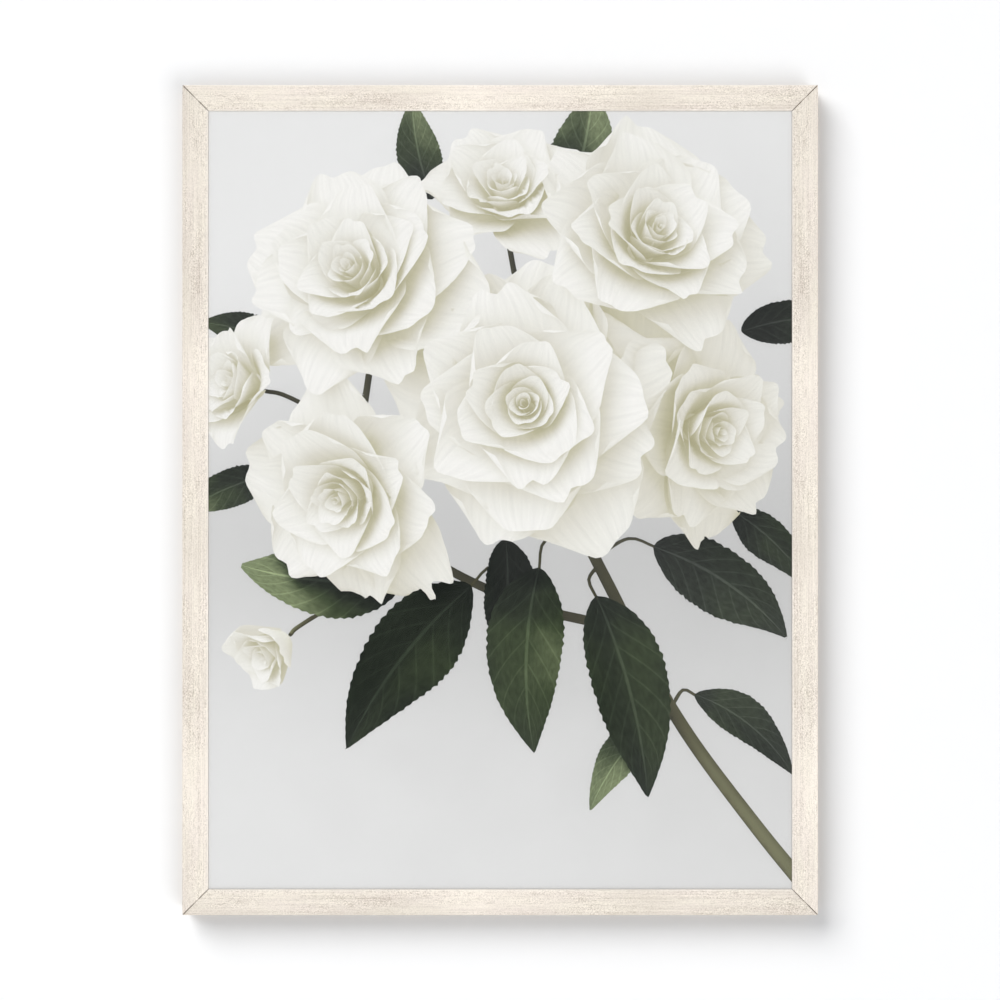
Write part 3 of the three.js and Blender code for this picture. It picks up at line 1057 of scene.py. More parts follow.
class Finish:
    """What a surface is made of and how it was worked."""

    name: str

    def surface(self, add: Adder) -> Node:
        """Builds the shader.

        Args:
            add: Adds a node to the material's tree.

        Returns:
            The shader's last node.
        """
        raise NotImplementedError

    def material(self) -> Material:
        """The finish as a material.

        Returns:
            The material, with the finish's name.
        """
        material = bpy.data.materials.new(self.name)
        material.use_nodes = True
        tree = material.node_tree
        tree.nodes.clear()
        add = partial(add_node, tree)
        add("OutputMaterial", {"Surface": self.surface(add)})
        return material


@dataclass(frozen=True)
class RailFinish(Finish):
    """A finish whose pattern runs along one rail.

    Args:
        side: The rail's side.
    """

    side: Side

    WORKED = ""  # what it is and how it was worked

    @property
    def name(self) -> str:
        """The material's name, its own for each rail."""
        return f"{self.WORKED}_{self.side.value}"

    def place(self, add: Adder) -> Node:
        """The spot on the rail in metres: along it, across it from its outer edge, and deep into it.

        Args:
            add: Adds a node to the material's tree.

        Returns:
            The node that joins the three.
        """
        low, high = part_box(self.side.rail)
        outward, along = self.side.outward, self.side.along
        rim = Vector([high[i] if outward[i] > 0 else low[i] for i in range(3)])
        spot = add("TexCoord").outputs["Object"]
        run = add("VectorMath SUBTRACT", {0: spot, 1: Vector((low.x, 0, high.z))})
        reach = add("VectorMath SUBTRACT", {0: rim, 1: spot})
        return add("CombineXYZ", {
            "X": add("VectorMath DOT_PRODUCT", {0: run, 1: along}),
            "Y": add("VectorMath DOT_PRODUCT", {0: reach, 1: outward}),
            "Z": add("SeparateXYZ", {0: spot}).outputs["Y"],
        })


@dataclass(frozen=True)
class ChampagneLeaf(RailFinish):
    """Champagne leaf on wood, rubbed along the rail and lacquered.

    It gives the eye a pale warm satin with wide zones of painted sheen, hairlines along the rail, short brown
    dashes where the rubbing went through, and a linen-like speckle of light and dark. All four rails are cut
    from one length: it is lighter along the edge that lies uppermost or to the right, and one line runs its
    whole length. A band of painted highlight runs along the inner edge of every rail and along the outer edge
    of the top rail; the outer edges of the others are rubbed. The leaf is chipped along the mitres, and brown
    glue shows there. On the flanks the leaf is thin, and its grey-brown ground shows through. Hairlines,
    dashes and speckle are drawn 0.7 to 0.8 mm wide, coarser than on real leaf, so that they show at arm's
    length.
    """

    brown: str = "#a49888"
    shade: str = "#cfc8be"
    body: str = "#e1dcd4"
    glow: str = "#efeae2"
    light: str = "#fdf8f0"
    rubbed_edge: str = "#d4cbbe"
    flank: str = "#877f71"
    glue: str = "#5f564c"
    hairline: tuple[float, float] = (60 * MM, 0.75 * MM)
    dash: tuple[float, float] = (8 * MM, 0.8 * MM)
    speck: tuple[float, float] = (1.0 * MM, 0.72 * MM)
    patch: tuple[float, float] = (50 * MM, 11 * MM)
    # The length over which the zones of painted sheen run along a rail.
    painted_sheen_run: float = 0.6
    long_line: tuple[float, float] = (7.2 * MM, 0.6 * MM)
    mitre_wear: float = 0.37 * MM

    WORKED = "rubbed_champagne_leaf"
    # What each layer adds to the tone (the first is the zones of painted sheen), how far the tone falls to
    # each edge, and how brown a dash is.
    PAINTED_SHEEN_SHARE = 0.24
    PATCH_SHARE = 0.32
    HAIR_SHARE = 0.7
    SPECK_SHARE = 1.25
    CROSS_FALL = 0.07
    LINE_SHADE = -0.12
    DASH_SHARE = 0.4

    def surface(self, add: Adder) -> Node:
        """Painted sheen in zones, hairlines, dashes, speckle, rubbed edges and painted highlights over one
        another.

        Args:
            add: Adds a node to the tree.

        Returns:
            The shader.
        """
        place = self.place(add)
        parts = add("SeparateXYZ", {0: place})
        run, across = parts.outputs["X"], parts.outputs["Y"]
        wide, hairs, dashes, specks, worn = (
            streaks(add, {
                "Vector": place, "Location": (3 * number, 5 * number, number),
                "Scale": (1 / size[0], 1 / size[1], 1 / size[1]),
            }, Detail=detail, Roughness=0.6)
            for number, (size, detail) in enumerate((
                (self.patch, 3.0), (self.hairline, 2.0), (self.dash, 2.0), (self.speck, 1.0),
                (self.patch, 2.0),
            ))
        )
        worn = add("MapRange SMOOTHSTEP", {0: worn, 1: 0.36, 2: 0.62, 3: 0.55, 4: 1.3})
        specks = add("Math SUBTRACT", {0: specks, 1: 0.5})
        specks = add("Math MULTIPLY", {0: specks, 1: worn})
        low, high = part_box(Side.LEFT.rail)
        width, front = high.x - low.x, low.y
        tone = self.fall(add, run, across, width)
        layers = (wide, self.PATCH_SHARE), (hairs, self.HAIR_SHARE), (specks, self.SPECK_SHARE)
        for part, share in layers:
            tone = add("Math MULTIPLY_ADD", {0: part, 1: share, 2: tone})
        tone = add("Math ADD", {0: tone, 1: -0.02})
        colour = add("ValToRGB", {0: tone}, stops=[
            (0.0, self.brown), (1.0, self.light), (0.3, self.shade), (0.5, self.body), (0.7, self.glow),
        ])
        hue = add("ValToRGB", {0: wide}, stops=[(0.35, "#fff6f0"), (0.65, "#fff9ee")])
        colour = add("Mix RGBA", {0: 0.6, 6: colour, 7: hue}, blend_type="MULTIPLY")
        cut = add("MapRange SMOOTHSTEP", {0: dashes, 1: 0.56, 2: 0.72})
        cut = add("Math MULTIPLY", {0: cut, 1: worn})
        outer = add("MapRange SMOOTHSTEP", {0: across, 1: 1.2 * MM, 2: 0.2 * MM})
        inner = add("MapRange SMOOTHSTEP", {0: across, 1: width - 1.8 * MM, 2: width - 0.3 * MM})
        rub = add("MapRange", {0: hairs, 1: 0.4, 2: 0.6, 3: 0.0, 4: 0.3})
        # On the top rail the outer edge gets a painted highlight; on the other rails it is rubbed.
        outer_rub_and_top_highlight = (outer, 0.6, self.light) if self.side is Side.TOP else (outer, rub, self.rubbed_edge)
        # A band of painted highlight along the inner edge, against the shade that falls there.
        inner_painted_light = inner, 0.35, self.light
        for where, share, there in ((cut, self.DASH_SHARE, self.brown), outer_rub_and_top_highlight, inner_painted_light):
            amount = add("Math MULTIPLY", {0: where, 1: share})
            colour = add("Mix RGBA", {0: amount, 6: colour, 7: linear(there)})
        glued = self.glued(add, run, across, width)
        colour = add("Mix RGBA", {0: glued, 6: colour, 7: linear(self.glue)})
        depth = parts.outputs["Z"]
        depth = add("MapRange", {0: depth, 1: front + 0.3 * MM, 2: front + 2.5 * MM, 3: 0.0, 4: 0.5})
        flank = add("MapRange", {0: across, 1: 0.15 * MM, 2: 0.05 * MM})
        flank = add("Math MULTIPLY", {0: flank, 1: depth})
        colour = add("Mix RGBA", {0: flank, 6: colour, 7: linear(self.flank)})
        relief = add("Math MULTIPLY_ADD", {0: cut, 1: -0.5, 2: hairs})
        relief = add("Math MULTIPLY_ADD", {0: specks, 1: 0.5, 2: relief})
        return add("BsdfPrincipled", {
            "Base Color": colour, "Metallic": 0.0, "IOR": 1.5, "Coat Weight": 0.15, "Coat Roughness": 0.3,
            "Roughness": add("MapRange", {0: tone, 1: 0.3, 2: 0.8, 3: 0.52, 4: 0.4}),
            "Normal": add("Bump", {"Height": relief, "Strength": 0.3, "Distance": 0.06 * MM}),
        })

    def fall(self, add: Adder, run: Socket, across: Socket, width: float) -> Node:
        """The part of the tone that all four rails share: its zones of painted sheen, its slope and its long
        line.

        Args:
            add: Adds a node to the material's tree.
            run: The distance along the rail.
            across: The distance from its outer edge.
            width: The rail's width.

        Returns:
            The tone.
        """
        # Painted sheen: bright and dull zones at given places along the rail.
        painted_sheen = add("Math DIVIDE", {0: run, 1: self.painted_sheen_run})
        painted_sheen = add("ValToRGB", {0: painted_sheen}, stops=[
            (0.0, "#808080"), (1.0, "#b4b4b4"), (0.13, "#c4c4c4"), (0.27, "#5a5a5a"), (0.38, "#ffffff"),
            (0.5, "#a8a8a8"), (0.6, "#404040"), (0.65, "#c4c4c4"), (0.79, "#707070"), (0.91, "#ffffff"),
        ])
        # Lighter along the edge that lies uppermost or to the right of each rail.
        if self.side in (Side.BOTTOM, Side.LEFT):
            across = add("Math SUBTRACT", {0: width, 1: across})
        slope = add("MapRange", {0: across, 1: 0.0, 2: width, 3: self.CROSS_FALL, 4: -self.CROSS_FALL})
        middle, reach = self.long_line
        line = add("Math SUBTRACT", {0: across, 1: middle})
        line = add("Math ABSOLUTE", {0: line})
        line = add("MapRange SMOOTHSTEP", {0: line, 1: reach, 2: 0.0, 3: 0.0, 4: self.LINE_SHADE})
        slope = add("Math ADD", {0: slope, 1: line})
        return add("Math MULTIPLY_ADD", {0: painted_sheen, 1: self.PAINTED_SHEEN_SHARE, 2: slope})

    def glued(self, add: Adder, run: Socket, across: Socket, width: float) -> Node:
        """How much glue shows along both mitres, most at the corner and two thirds of the way in.

        Args:
            add: Adds a node to the material's tree.
            run: The distance along the rail.
            across: The distance from its outer edge.
            width: The rail's width.

        Returns:
            The amount, 0 to 1.
        """
        low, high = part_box(self.side.rail)
        to_end = add("Math SUBTRACT", {0: abs((high - low).dot(self.side.along)), 1: run})
        end = add("Math MINIMUM", {0: run, 1: to_end})
        off = add("Math SUBTRACT", {0: end, 1: across})
        off = add("Math ABSOLUTE", {0: off})
        near = add("MapRange SMOOTHSTEP", {0: off, 1: self.mitre_wear * math.sqrt(2), 2: 0.0})
        inwards = add("Math DIVIDE", {0: across, 1: width})
        amount = add("ValToRGB", {0: inwards}, stops=[
            (0.0, "#ffffff"), (1.0, "#c0c0c0"), (0.36, "#ffffff"), (0.48, "#404040"), (0.58, "#404040"),
            (0.68, "#ffffff"),
        ])
        return add("Math MULTIPLY", {0: near, 1: amount})


@dataclass(frozen=True)
class BareWood(RailFinish):
    """Planed ayous, left raw on the back and in the rabbet: dry and matt, with grain lines and planer marks.

    Its growth lines lie about 2.6 mm apart, its pores are 5 mm long and 0.5 mm wide, drawn about twice as
    wide as they are so that they show, and the planer's ripple is 2 mm long.
    """

    early: str = "#dcc096"
    late: str = "#bd9566"
    bright: str = "#e6cea8"
    pore: str = "#8f6a44"

    WORKED = "planed_ayous"

    def surface(self, add: Adder) -> Node:
        """Growth rings cut lengthwise, short open pores and the planer's ripple.

        Args:
            add: Adds a node to the tree.

        Returns:
            The shader.
        """
        place = self.place(add)
        # Each with its number of streaks in a metre, along the grain and across it.
        drift, grain, pores, ripple = (
            streaks(add, {"Vector": place, "Scale": (along, across, across)}, **noise)
            for along, across, noise in (
                (5, 55, {"Detail": 3.0}),
                (9, 380, {"Detail": 5.0, "Roughness": 0.6, "Distortion": 0.5}),
                (190, 2200, {"Detail": 1.0}),
                (520, 8, {"Detail": 0.0}),
            )
        )
        tone = add("Math MULTIPLY", {0: drift, 1: 0.45})
        tone = add("Math MULTIPLY_ADD", {0: grain, 1: 0.6, 2: tone})
        rings = [(0.36, self.late), (0.7, self.bright), (0.52, self.early)]
        colour = add("ValToRGB", {0: tone}, stops=rings)
        pore = add("MapRange SMOOTHSTEP", {0: pores, 1: 0.6, 2: 0.74, 3: 0.0, 4: 0.55})
        colour = add("Mix RGBA", {0: pore, 6: colour, 7: linear(self.pore)})
        relief = add("Math MULTIPLY_ADD", {0: ripple, 1: 0.5, 2: grain})
        relief = add("Math MULTIPLY_ADD", {0: pore, 1: -0.8, 2: relief})
        bump = add("Bump", {"Height": relief, "Strength": 0.5, "Distance": 0.1 * MM})
        return add("BsdfPrincipled", {"Base Color": colour, "Roughness": 0.8, "Normal": bump})


@dataclass(frozen=True)
class Grained(Finish):
    """A finish with one even grain that colours it and stands out a little.

    Args:
        name: The material's name.
        per_mm: How many grains there are in a millimetre.
        stops: The colours between the grains and on them.
        strength: How much of the relief shows.
        relief: The grain's height in metres.
        rough: The roughness, or its amounts between the grains and on them.
        detail: How much finer the grain is broken up.
        texture: The grain's texture.
        extra: Further inputs of the shader.
    """

    name: str
    per_mm: float
    stops: tuple[tuple[float, str], ...]
    strength: float
    relief: float
    rough: float | tuple[float, float]
    detail: float = 0.0
    texture: str = "TexNoise"
    extra: tuple[tuple[str, float], ...] = ()

    def surface(self, add: Adder) -> Node:
        """The grain as colour, roughness and relief.

        Args:
            add: Adds a node to the tree.

        Returns:
            The shader.
        """
        spot = add("TexCoord").outputs["Object"]
        grain = add(self.texture, {"Vector": spot, "Scale": self.per_mm / MM, "Detail": self.detail})
        rough = self.rough
        if isinstance(rough, tuple):
            rough = add("MapRange", {0: grain, 1: 0.3, 2: 0.7, 3: rough[0], 4: rough[1]})
        return add("BsdfPrincipled", {
            "Base Color": add("ValToRGB", {0: grain}, stops=self.stops),
            "Roughness": rough,
            "Normal": add("Bump", {"Height": grain, "Strength": self.strength, "Distance": self.relief}),
            **dict(self.extra),
        })


# Wood glue and dust in a mitre: dull and brown, with paler crumbs about 1 mm apart.
DRIED_GLUE = Grained(
    "dried_wood_glue", 1, ((0.35, "#453a30"), (0.7, "#8d7b68")), 0.6, 0.1 * MM, 0.85, detail=2.0
)
# The sheet's unprinted back and cut edges: a warm white with fibres about 1.5 mm long.
COTTON_PAPER = Grained(
    "bare_cotton_paper", 0.7, ((0.3, "#e9e7e0"), (0.7, "#f5f4f0")), 0.2, 0.03 * MM, 0.85, detail=4.0
)
# Polystyrene foam between white papers: matt, with beads 1.2 mm wide where it is cut.
FOAM_CORE = Grained(
    "polystyrene_foam_board", 0.8, ((0.1, "#f3f1eb"), (0.9, "#dfddd6")), 0.3, 0.1 * MM, 0.9,
    texture="TexVoronoi",
)
# Moulded soft polyurethane: milky grey with a dusty satin skin, the dust in spots about 1 mm wide.
POLYURETHANE = Grained(
    "moulded_polyurethane", 0.9, ((0.35, "#c4c0b6"), (0.65, "#dcd9d1")), 0.2, 0.04 * MM, (0.35, 0.6),
    detail=3.0, extra=(("Subsurface Weight", 0.25), ("Subsurface Scale", 2 * MM)),
)


@dataclass(frozen=True)
class PigmentPrint(Finish):
    """Pigment ink on smooth matt cotton paper.

    The picture's outlines and light are in the mesh. The shader adds what is finer: lines in the petals,
    ribs in the leaves, the ink's dither and the paper's tooth, which is drawn about twice as coarse. Its
    strength is the share of each ink's light that the paper returns.
    """

    name: str = "pigment_ink_on_cotton_paper"
    strength: float = 0.84
    ribs: float = 8.0
    rib_slant: float = -0.25

    def surface(self, add: Adder) -> Node:
        """The mesh's ink, darkened and lightened by the fine lines of what it shows.

        Args:
            add: Adds a node to the tree.

        Returns:
            The shader.
        """
        ink = add("Attribute", attribute_name="ink").outputs["Color"]
        kind = add("Attribute", attribute_name="kind").outputs["Fac"]
        plant = add("UVMap", uv_map="plant")
        spot = add("TexCoord").outputs["Object"]
        parts = add("SeparateXYZ", {0: plant})
        aside = add("Math ABSOLUTE", {0: parts.outputs["X"]})
        petal, leaf = (
            add("Math COMPARE", {0: kind, 1: float(shown.value), 2: 0.5}) for shown in (Ink.PETAL, Ink.LEAF)
        )
        fine = {"Vector": plant, "Scale": (11, 1.4, 1)}
        fine = streaks(add, fine, Detail=3.0, Roughness=0.6, Distortion=0.3)
        fine = add("MapRange", {0: fine, 1: 0.3, 2: 0.7, 3: -0.05, 4: 0.04})
        fine = add("Math MULTIPLY", {0: fine, 1: petal})
        slant = add("Math MULTIPLY_ADD", {0: aside, 1: self.rib_slant, 2: parts.outputs["Y"]})
        slant = add("Math MULTIPLY", {0: slant, 1: self.ribs})
        rib = add("Math PINGPONG", {0: slant, 1: 0.5})
        rib = add("MapRange SMOOTHSTEP", {0: rib, 1: 0.09, 2: 0.0, 3: 0.0, 4: 0.5})
        midrib = add("MapRange SMOOTHSTEP", {0: aside, 1: 0.06, 2: 0.02})
        veins = add("Math MAXIMUM", {0: rib, 1: midrib})
        mottle = streaks(add, {"Vector": plant, "Scale": (9, 22, 1)}, Detail=3.0)
        mottle = add("MapRange", {0: mottle, 1: 0.3, 2: 0.7, 3: -0.2, 4: 0.2})
        veins = add("Math MULTIPLY_ADD", {0: veins, 1: 0.8, 2: mottle})
        veins = add("Math MULTIPLY", {0: veins, 1: leaf})
        dither = add("TexNoise", {"Vector": spot, "Scale": 0.55 / MM, "Detail": 2.0})
        dither = add("MapRange", {0: dither, 1: 0.2, 2: 0.8, 3: 0.97, 4: 1.03})
        tone = add("Math ADD", {0: fine, 1: veins})
        tone = add("Math ADD", {0: tone, 1: dither})
        tone = add("Math MULTIPLY", {0: tone, 1: self.strength})
        tone = add("CombineColor", {0: tone, 1: tone, 2: tone})
        tooth = add("TexNoise", {"Vector": spot, "Scale": 0.8 / MM, "Detail": 3.0})
        return add("BsdfPrincipled", {
            "Base Color": add("Mix RGBA", {0: 1.0, 6: ink, 7: tone}, blend_type="MULTIPLY"),
            "Roughness": 0.65, "IOR": 1.4, "Specular IOR Level": 0.15,
            "Normal": add("Bump", {"Height": tooth, "Strength": 0.1, "Distance": 0.03 * MM}),
        })


@dataclass(frozen=True)
class CastAcrylic(Finish):
    """Clear cast acrylic with a coating against glare: it adds only a faint, sharp reflection."""

    name: str = "coated_cast_acrylic"
    ior: float = 1.2

    def surface(self, add: Adder) -> Node:
        """Clear, mixed with a mirror by how flat the view is.

        Args:
            add: Adds a node to the tree.

        Returns:
            The shader.
        """
        clear = add("BsdfTransparent", {"Color": linear("#fefefe")})
        mirror = add("BsdfAnisotropic", {"Color": linear("#ffffff"), "Roughness": 0.02})
        return add("MixShader", {0: add("Fresnel", {"IOR": self.ior}), 1: clear, 2: mirror})


@dataclass(frozen=True)
class Hardboard(Finish):
    """Pressed wood fibre: warm brown and flecked, with the faint gloss of its waxed face."""

    name: str = "pressed_hardboard"

    def surface(self, add: Adder) -> Node:
        """Clouds 6 cm wide, matted fibres 2 mm long and single pale splinters 11 mm long.

        Args:
            add: Adds a node to the tree.

        Returns:
            The shader.
        """
        spot = add("TexCoord").outputs["Object"]
        clouds = add("TexNoise", {"Vector": spot, "Scale": 16.0, "Detail": 4.0})
        fibres = add("TexNoise", {
            "Vector": spot, "Scale": 0.5 / MM, "Detail": 5.0, "Roughness": 0.7, "Distortion": 1.5,
        })
        turned = {"Vector": spot, "Rotation": (0, 0.6, 0), "Scale": (520, 520, 90)}
        splints = streaks(add, turned, Detail=2.0, Distortion=2.0)
        tone = add("Math MULTIPLY_ADD", {0: clouds, 1: 0.16, 2: 0.05})
        tone = add("Math MULTIPLY_ADD", {0: fibres, 1: 0.75, 2: tone})
        colour = add("ValToRGB", {0: tone}, stops=[(0.36, "#7a5533"), (0.66, "#bd9163"), (0.5, "#9c7047")])
        pale = add("MapRange SMOOTHSTEP", {0: splints, 1: 0.62, 2: 0.72, 3: 0.0, 4: 0.5})
        return add("BsdfPrincipled", {
            "Base Color": add("Mix RGBA", {0: pale, 6: colour, 7: linear("#c39c6b")}),
            "Roughness": add("MapRange", {0: fibres, 1: 0.3, 2: 0.7, 3: 0.42, 4: 0.62}),
            "Normal": add("Bump", {"Height": fibres, "Strength": 0.4, "Distance": 0.12 * MM}),
        })


@dataclass(frozen=True)
class SheetMetal(Finish):
    """Stamped sheet metal under a thin plating: a soft sheen that changes from crystal to crystal.

    Args:
        name: The material's name.
        bright: The metal's colour where it shines.
        dull: Its colour where it is dull.
        spangle: How much the crystals of its plating show.
        crystal: Their size in metres.
    """

    name: str
    bright: str
    dull: str
    spangle: float
    crystal: float = 2.2 * MM

    def surface(self, add: Adder) -> Node:
        """Crystals of plating, and lines left by the rolls, 4 mm long and 0.4 mm apart.

        Args:
            add: Adds a node to the tree.

        Returns:
            The shader.
        """
        spot = add("TexCoord").outputs["Object"]
        cells = add("TexVoronoi", {"Vector": spot, "Scale": 1 / self.crystal}).outputs["Color"]
        cells = add("SeparateColor", {0: cells})
        rolled = streaks(add, {"Vector": spot, "Scale": (260, 260, 2800)}, Detail=3.0, Roughness=0.6)
        tone = add("Mix", {0: self.spangle, 2: rolled, 3: cells})
        return add("BsdfPrincipled", {
            "Base Color": add("ValToRGB", {0: tone}, stops=[(0.25, self.dull), (0.7, self.bright)]),
            "Metallic": 1.0,
            "Roughness": add("MapRange", {0: tone, 1: 0.2, 2: 0.8, 3: 0.48, 4: 0.26}),
            "Normal": add("Bump", {"Height": rolled, "Strength": 0.15, "Distance": 0.03 * MM}),
        })


# ---------- meshes

FLAT_WITHIN = math.radians(0.4)
SHARP_PAST = math.radians(34)
SHADED_SHARP_PAST = math.radians(40)
SAME_SPOT = 0.002 * MM


def new_object(name: str, data: bpy.types.ID) -> Object:
    """An object in the scene, at the origin.

    Args:
        name: Its name.
        data: Its mesh, light or camera.

    Returns:
        The object.
    """
    made = bpy.data.objects.new(name, data)
    bpy.context.scene.collection.objects.link(made)
    return made


def bake(piece: Object) -> None:
    """Makes the piece's modifiers part of its mesh.

    Args:
        piece: The piece.
    """
    evaluated = piece.evaluated_get(bpy.context.evaluated_depsgraph_get())
    mesh = bpy.data.meshes.new_from_object(evaluated)
    piece.modifiers.clear()
    piece.data = mesh
    mesh.name = piece.name


def mesh_of(shape: bmesh.types.BMesh, name: str) -> Mesh:
    """The shape as a mesh; the shape is freed.

    Args:
        shape: The shape.
        name: The mesh's name.

    Returns:
        The mesh.
    """
    mesh = bpy.data.meshes.new(name)
    shape.to_mesh(mesh)
    shape.free()
    return mesh


def eased_copy(node: str, name: str, width: float, *finishes: Material) -> Object:
    """A copy of a CAD node whose sharp edges are eased, so that they catch the light.

    Args:
        node: The CAD node.
        name: The copy's name.
        width: The eased edge's width in metres.
        *finishes: Its materials.

    Returns:
        The copy, smooth where it is round.
    """
    shape = bmesh.new()
    shape.from_mesh(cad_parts[node].data)
    bmesh.ops.remove_doubles(shape, verts=shape.verts, dist=SAME_SPOT)
    bmesh.ops.dissolve_limit(shape, angle_limit=FLAT_WITHIN, verts=shape.verts, edges=shape.edges)
    piece = new_object(name, mesh_of(shape, name))
    easing = piece.modifiers.new("eased edges", "BEVEL")
    easing.width, easing.segments = width, 2
    easing.limit_method, easing.angle_limit = "ANGLE", SHARP_PAST
    bake(piece)
    piece.data.shade_smooth()
    piece.data.set_sharp_from_angle(angle=SHADED_SHARP_PAST)
    piece.data.materials.clear()
    for finish in finishes:
        piece.data.materials.append(finish)
    return piece


def fit(piece: Object, slot: str, *nodes: str) -> None:
    """Gives a piece to the frame, which is one body.

    Args:
        piece: The piece.
        slot: The record's slot for its finish. It is not used.
        *nodes: The CAD nodes that it stands for.
    """
    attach(piece, ROOT)
    if nodes:
        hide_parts(*nodes)
    log.info("%s: %d faces", piece.name, len(piece.data.polygons))


def dress_node(node: str, finish: Finish) -> None:
    """Gives a CAD node that keeps its own shape its finish.

    Args:
        node: The node.
        finish: Its finish.
    """
    material = finish.material()
    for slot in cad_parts[node].material_slots:
        slot.link, slot.material = "OBJECT", material
    log.info("%s: finished", node)


# ---------- the frame


@dataclass
class Moulding:
    """The four rails: champagne leaf outside, bare wood behind, their mitres filled with glue.

    Args:
        edge: The width of a rail's eased edges.
        front_radius: The radius of its front edges.
        lip_depth: The thickness of the lip in front of the pane.
        glue_margin: How far the glue stays off the wood.
        slack: How far from the rabbet a face still belongs to it, and the glue ends.
        back_skin: How far from the back a face belongs to it.
        openings: Where the mitre stands open: the place and the width as shares of the rail's width, and
            the depth in millimetres.
        skin: The least depth of the glue's front edge, in millimetres.
        crumb: How far its crumbs add to that.
        end_gap: How far it stays from both ends of the mitre.
        steps: Points along it.
    """

    edge: float = 0.12 * MM
    front_radius: float = 0.5 * MM
    lip_depth: float = 2 * MM
    gap: float = 0.3 * MM
    glue_margin: float = 0.02 * MM
    slack: float = 0.1 * MM
    back_skin: float = 0.6 * MM
    openings: tuple[tuple[float, float, float], ...] = ((0.0, 0.16, 0.8), (0.7, 0.09, 0.7))
    skin: float = 0.1
    crumb: float = 0.35
    end_gap: float = 0.2 * MM
    steps: int = 48
    seed: int = 5

    def build(self) -> None:
        """Makes the rails and the glue."""
        for side in Side:
            self.rail(side)
        self.glue()

    def rail(self, side: Side) -> None:
        """Makes one rail, with bare wood on its back, in its rabbet and on its mitres.

        Args:
            side: Its side.
        """
        finishes = ChampagneLeaf(side).material(), BareWood(side).material()
        piece = eased_copy(side.rail, f"{side.rail}_leafed", self.edge, *finishes)
        low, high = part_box(side.rail)
        for polygon in piece.data.polygons:
            polygon.material_index = int(self.is_bare(polygon, side, low.y, high.y))
        fit(piece, "champagne_wood", side.rail)

    def is_bare(self, polygon: bpy.types.MeshPolygon, side: Side, front: float, back: float) -> bool:
        """Whether a face of a rail is bare wood.

        Args:
            polygon: The face.
            side: The rail's side.
            front: Where the rail's front lies in Y.
            back: Where its back lies.

        Returns:
            True on the back, in the rabbet and on the mitres.
        """
        normal, depth = polygon.normal, polygon.center.y
        mitred = abs(abs(normal.x) - abs(normal.z)) < 0.1 and abs(normal.y) < 0.2
        behind = depth > back - self.back_skin
        faces_rabbet = -normal.dot(side.outward) > 0.5 or normal.y > 0.7
        return mitred or behind or (depth > front + self.lip_depth - self.slack and faces_rabbet)

    def glue(self) -> None:
        """Lays a thin sheet of glue in each mitre, whose front edge lies at an uneven depth."""
        (low, inner), (_, high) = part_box(Side.LEFT.rail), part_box(Side.RIGHT.rail)
        width, front = inner.x - low.x, low.y
        rng = np.random.default_rng(self.seed)
        shape = bmesh.new()
        half = (self.gap / 2 - self.glue_margin) / math.sqrt(2)
        for sign_x, edge_x in ((-1, low.x), (1, high.x)):
            for sign_z, edge_z in ((-1, low.z), (1, high.z)):
                beside = Vector((sign_x, 0, -sign_z)) * half
                rings = []
                for reach, depth in self.glue_profile(width, rng):
                    at = Vector((edge_x, 0, edge_z)) + Vector((-sign_x, 0, -sign_z)) * reach
                    near, far = (
                        Vector((at.x, y, at.z)) for y in (front + depth, front + self.lip_depth - self.slack)
                    )
                    rings.append((near - beside, near + beside, far + beside, far - beside))
                self.add_bar(shape, rings)
        bmesh.ops.recalc_face_normals(shape, faces=shape.faces)
        mesh = mesh_of(shape, "mitre_glue")
        mesh.materials.append(DRIED_GLUE.material())
        fit(new_object("mitre_glue", mesh), "champagne_wood")

    def glue_profile(self, width: float, rng: np.random.Generator) -> list[tuple[float, float]]:
        """How deep the glue's front edge lies, deepest where the mitre stands open and shows darkest.

        Args:
            width: The rail's width.
            rng: Draws the crumbs.

        Returns:
            Pairs of a distance from the corner and the depth there.
        """
        t = np.linspace(0, 1, self.steps)
        open_mitre = sum(depth * np.exp(-(((t - at) / wide) ** 2)) for at, wide, depth in self.openings)
        crumbs = np.convolve(rng.uniform(0, 1, self.steps + 4), np.ones(5) / 5, mode="valid")
        depth = (self.skin + open_mitre + self.crumb * crumbs) * MM
        inset = np.maximum(self.front_radius - width * np.minimum(t, 1 - t), 0)
        reach = self.end_gap + t * (width - 2 * self.end_gap)
        return list(zip(reach.tolist(), (depth + inset).tolist()))

    @staticmethod
    def add_bar(shape: bmesh.types.BMesh, rings: list[tuple[Vector, ...]]) -> None:
        """Adds a closed bar through rings of four corners.

        Args:
            shape: What it is added to.
            rings: The corners, ring by ring.
        """
        rings = [[shape.verts.new(corner) for corner in ring] for ring in rings]
        for one, other in zip(rings, rings[1:]):
            for i in range(4):
                shape.faces.new((one[i], one[(i + 1) % 4], other[(i + 1) % 4], other[i]))
        shape.faces.new(rings[0][::-1])
        shape.faces.new(rings[-1])


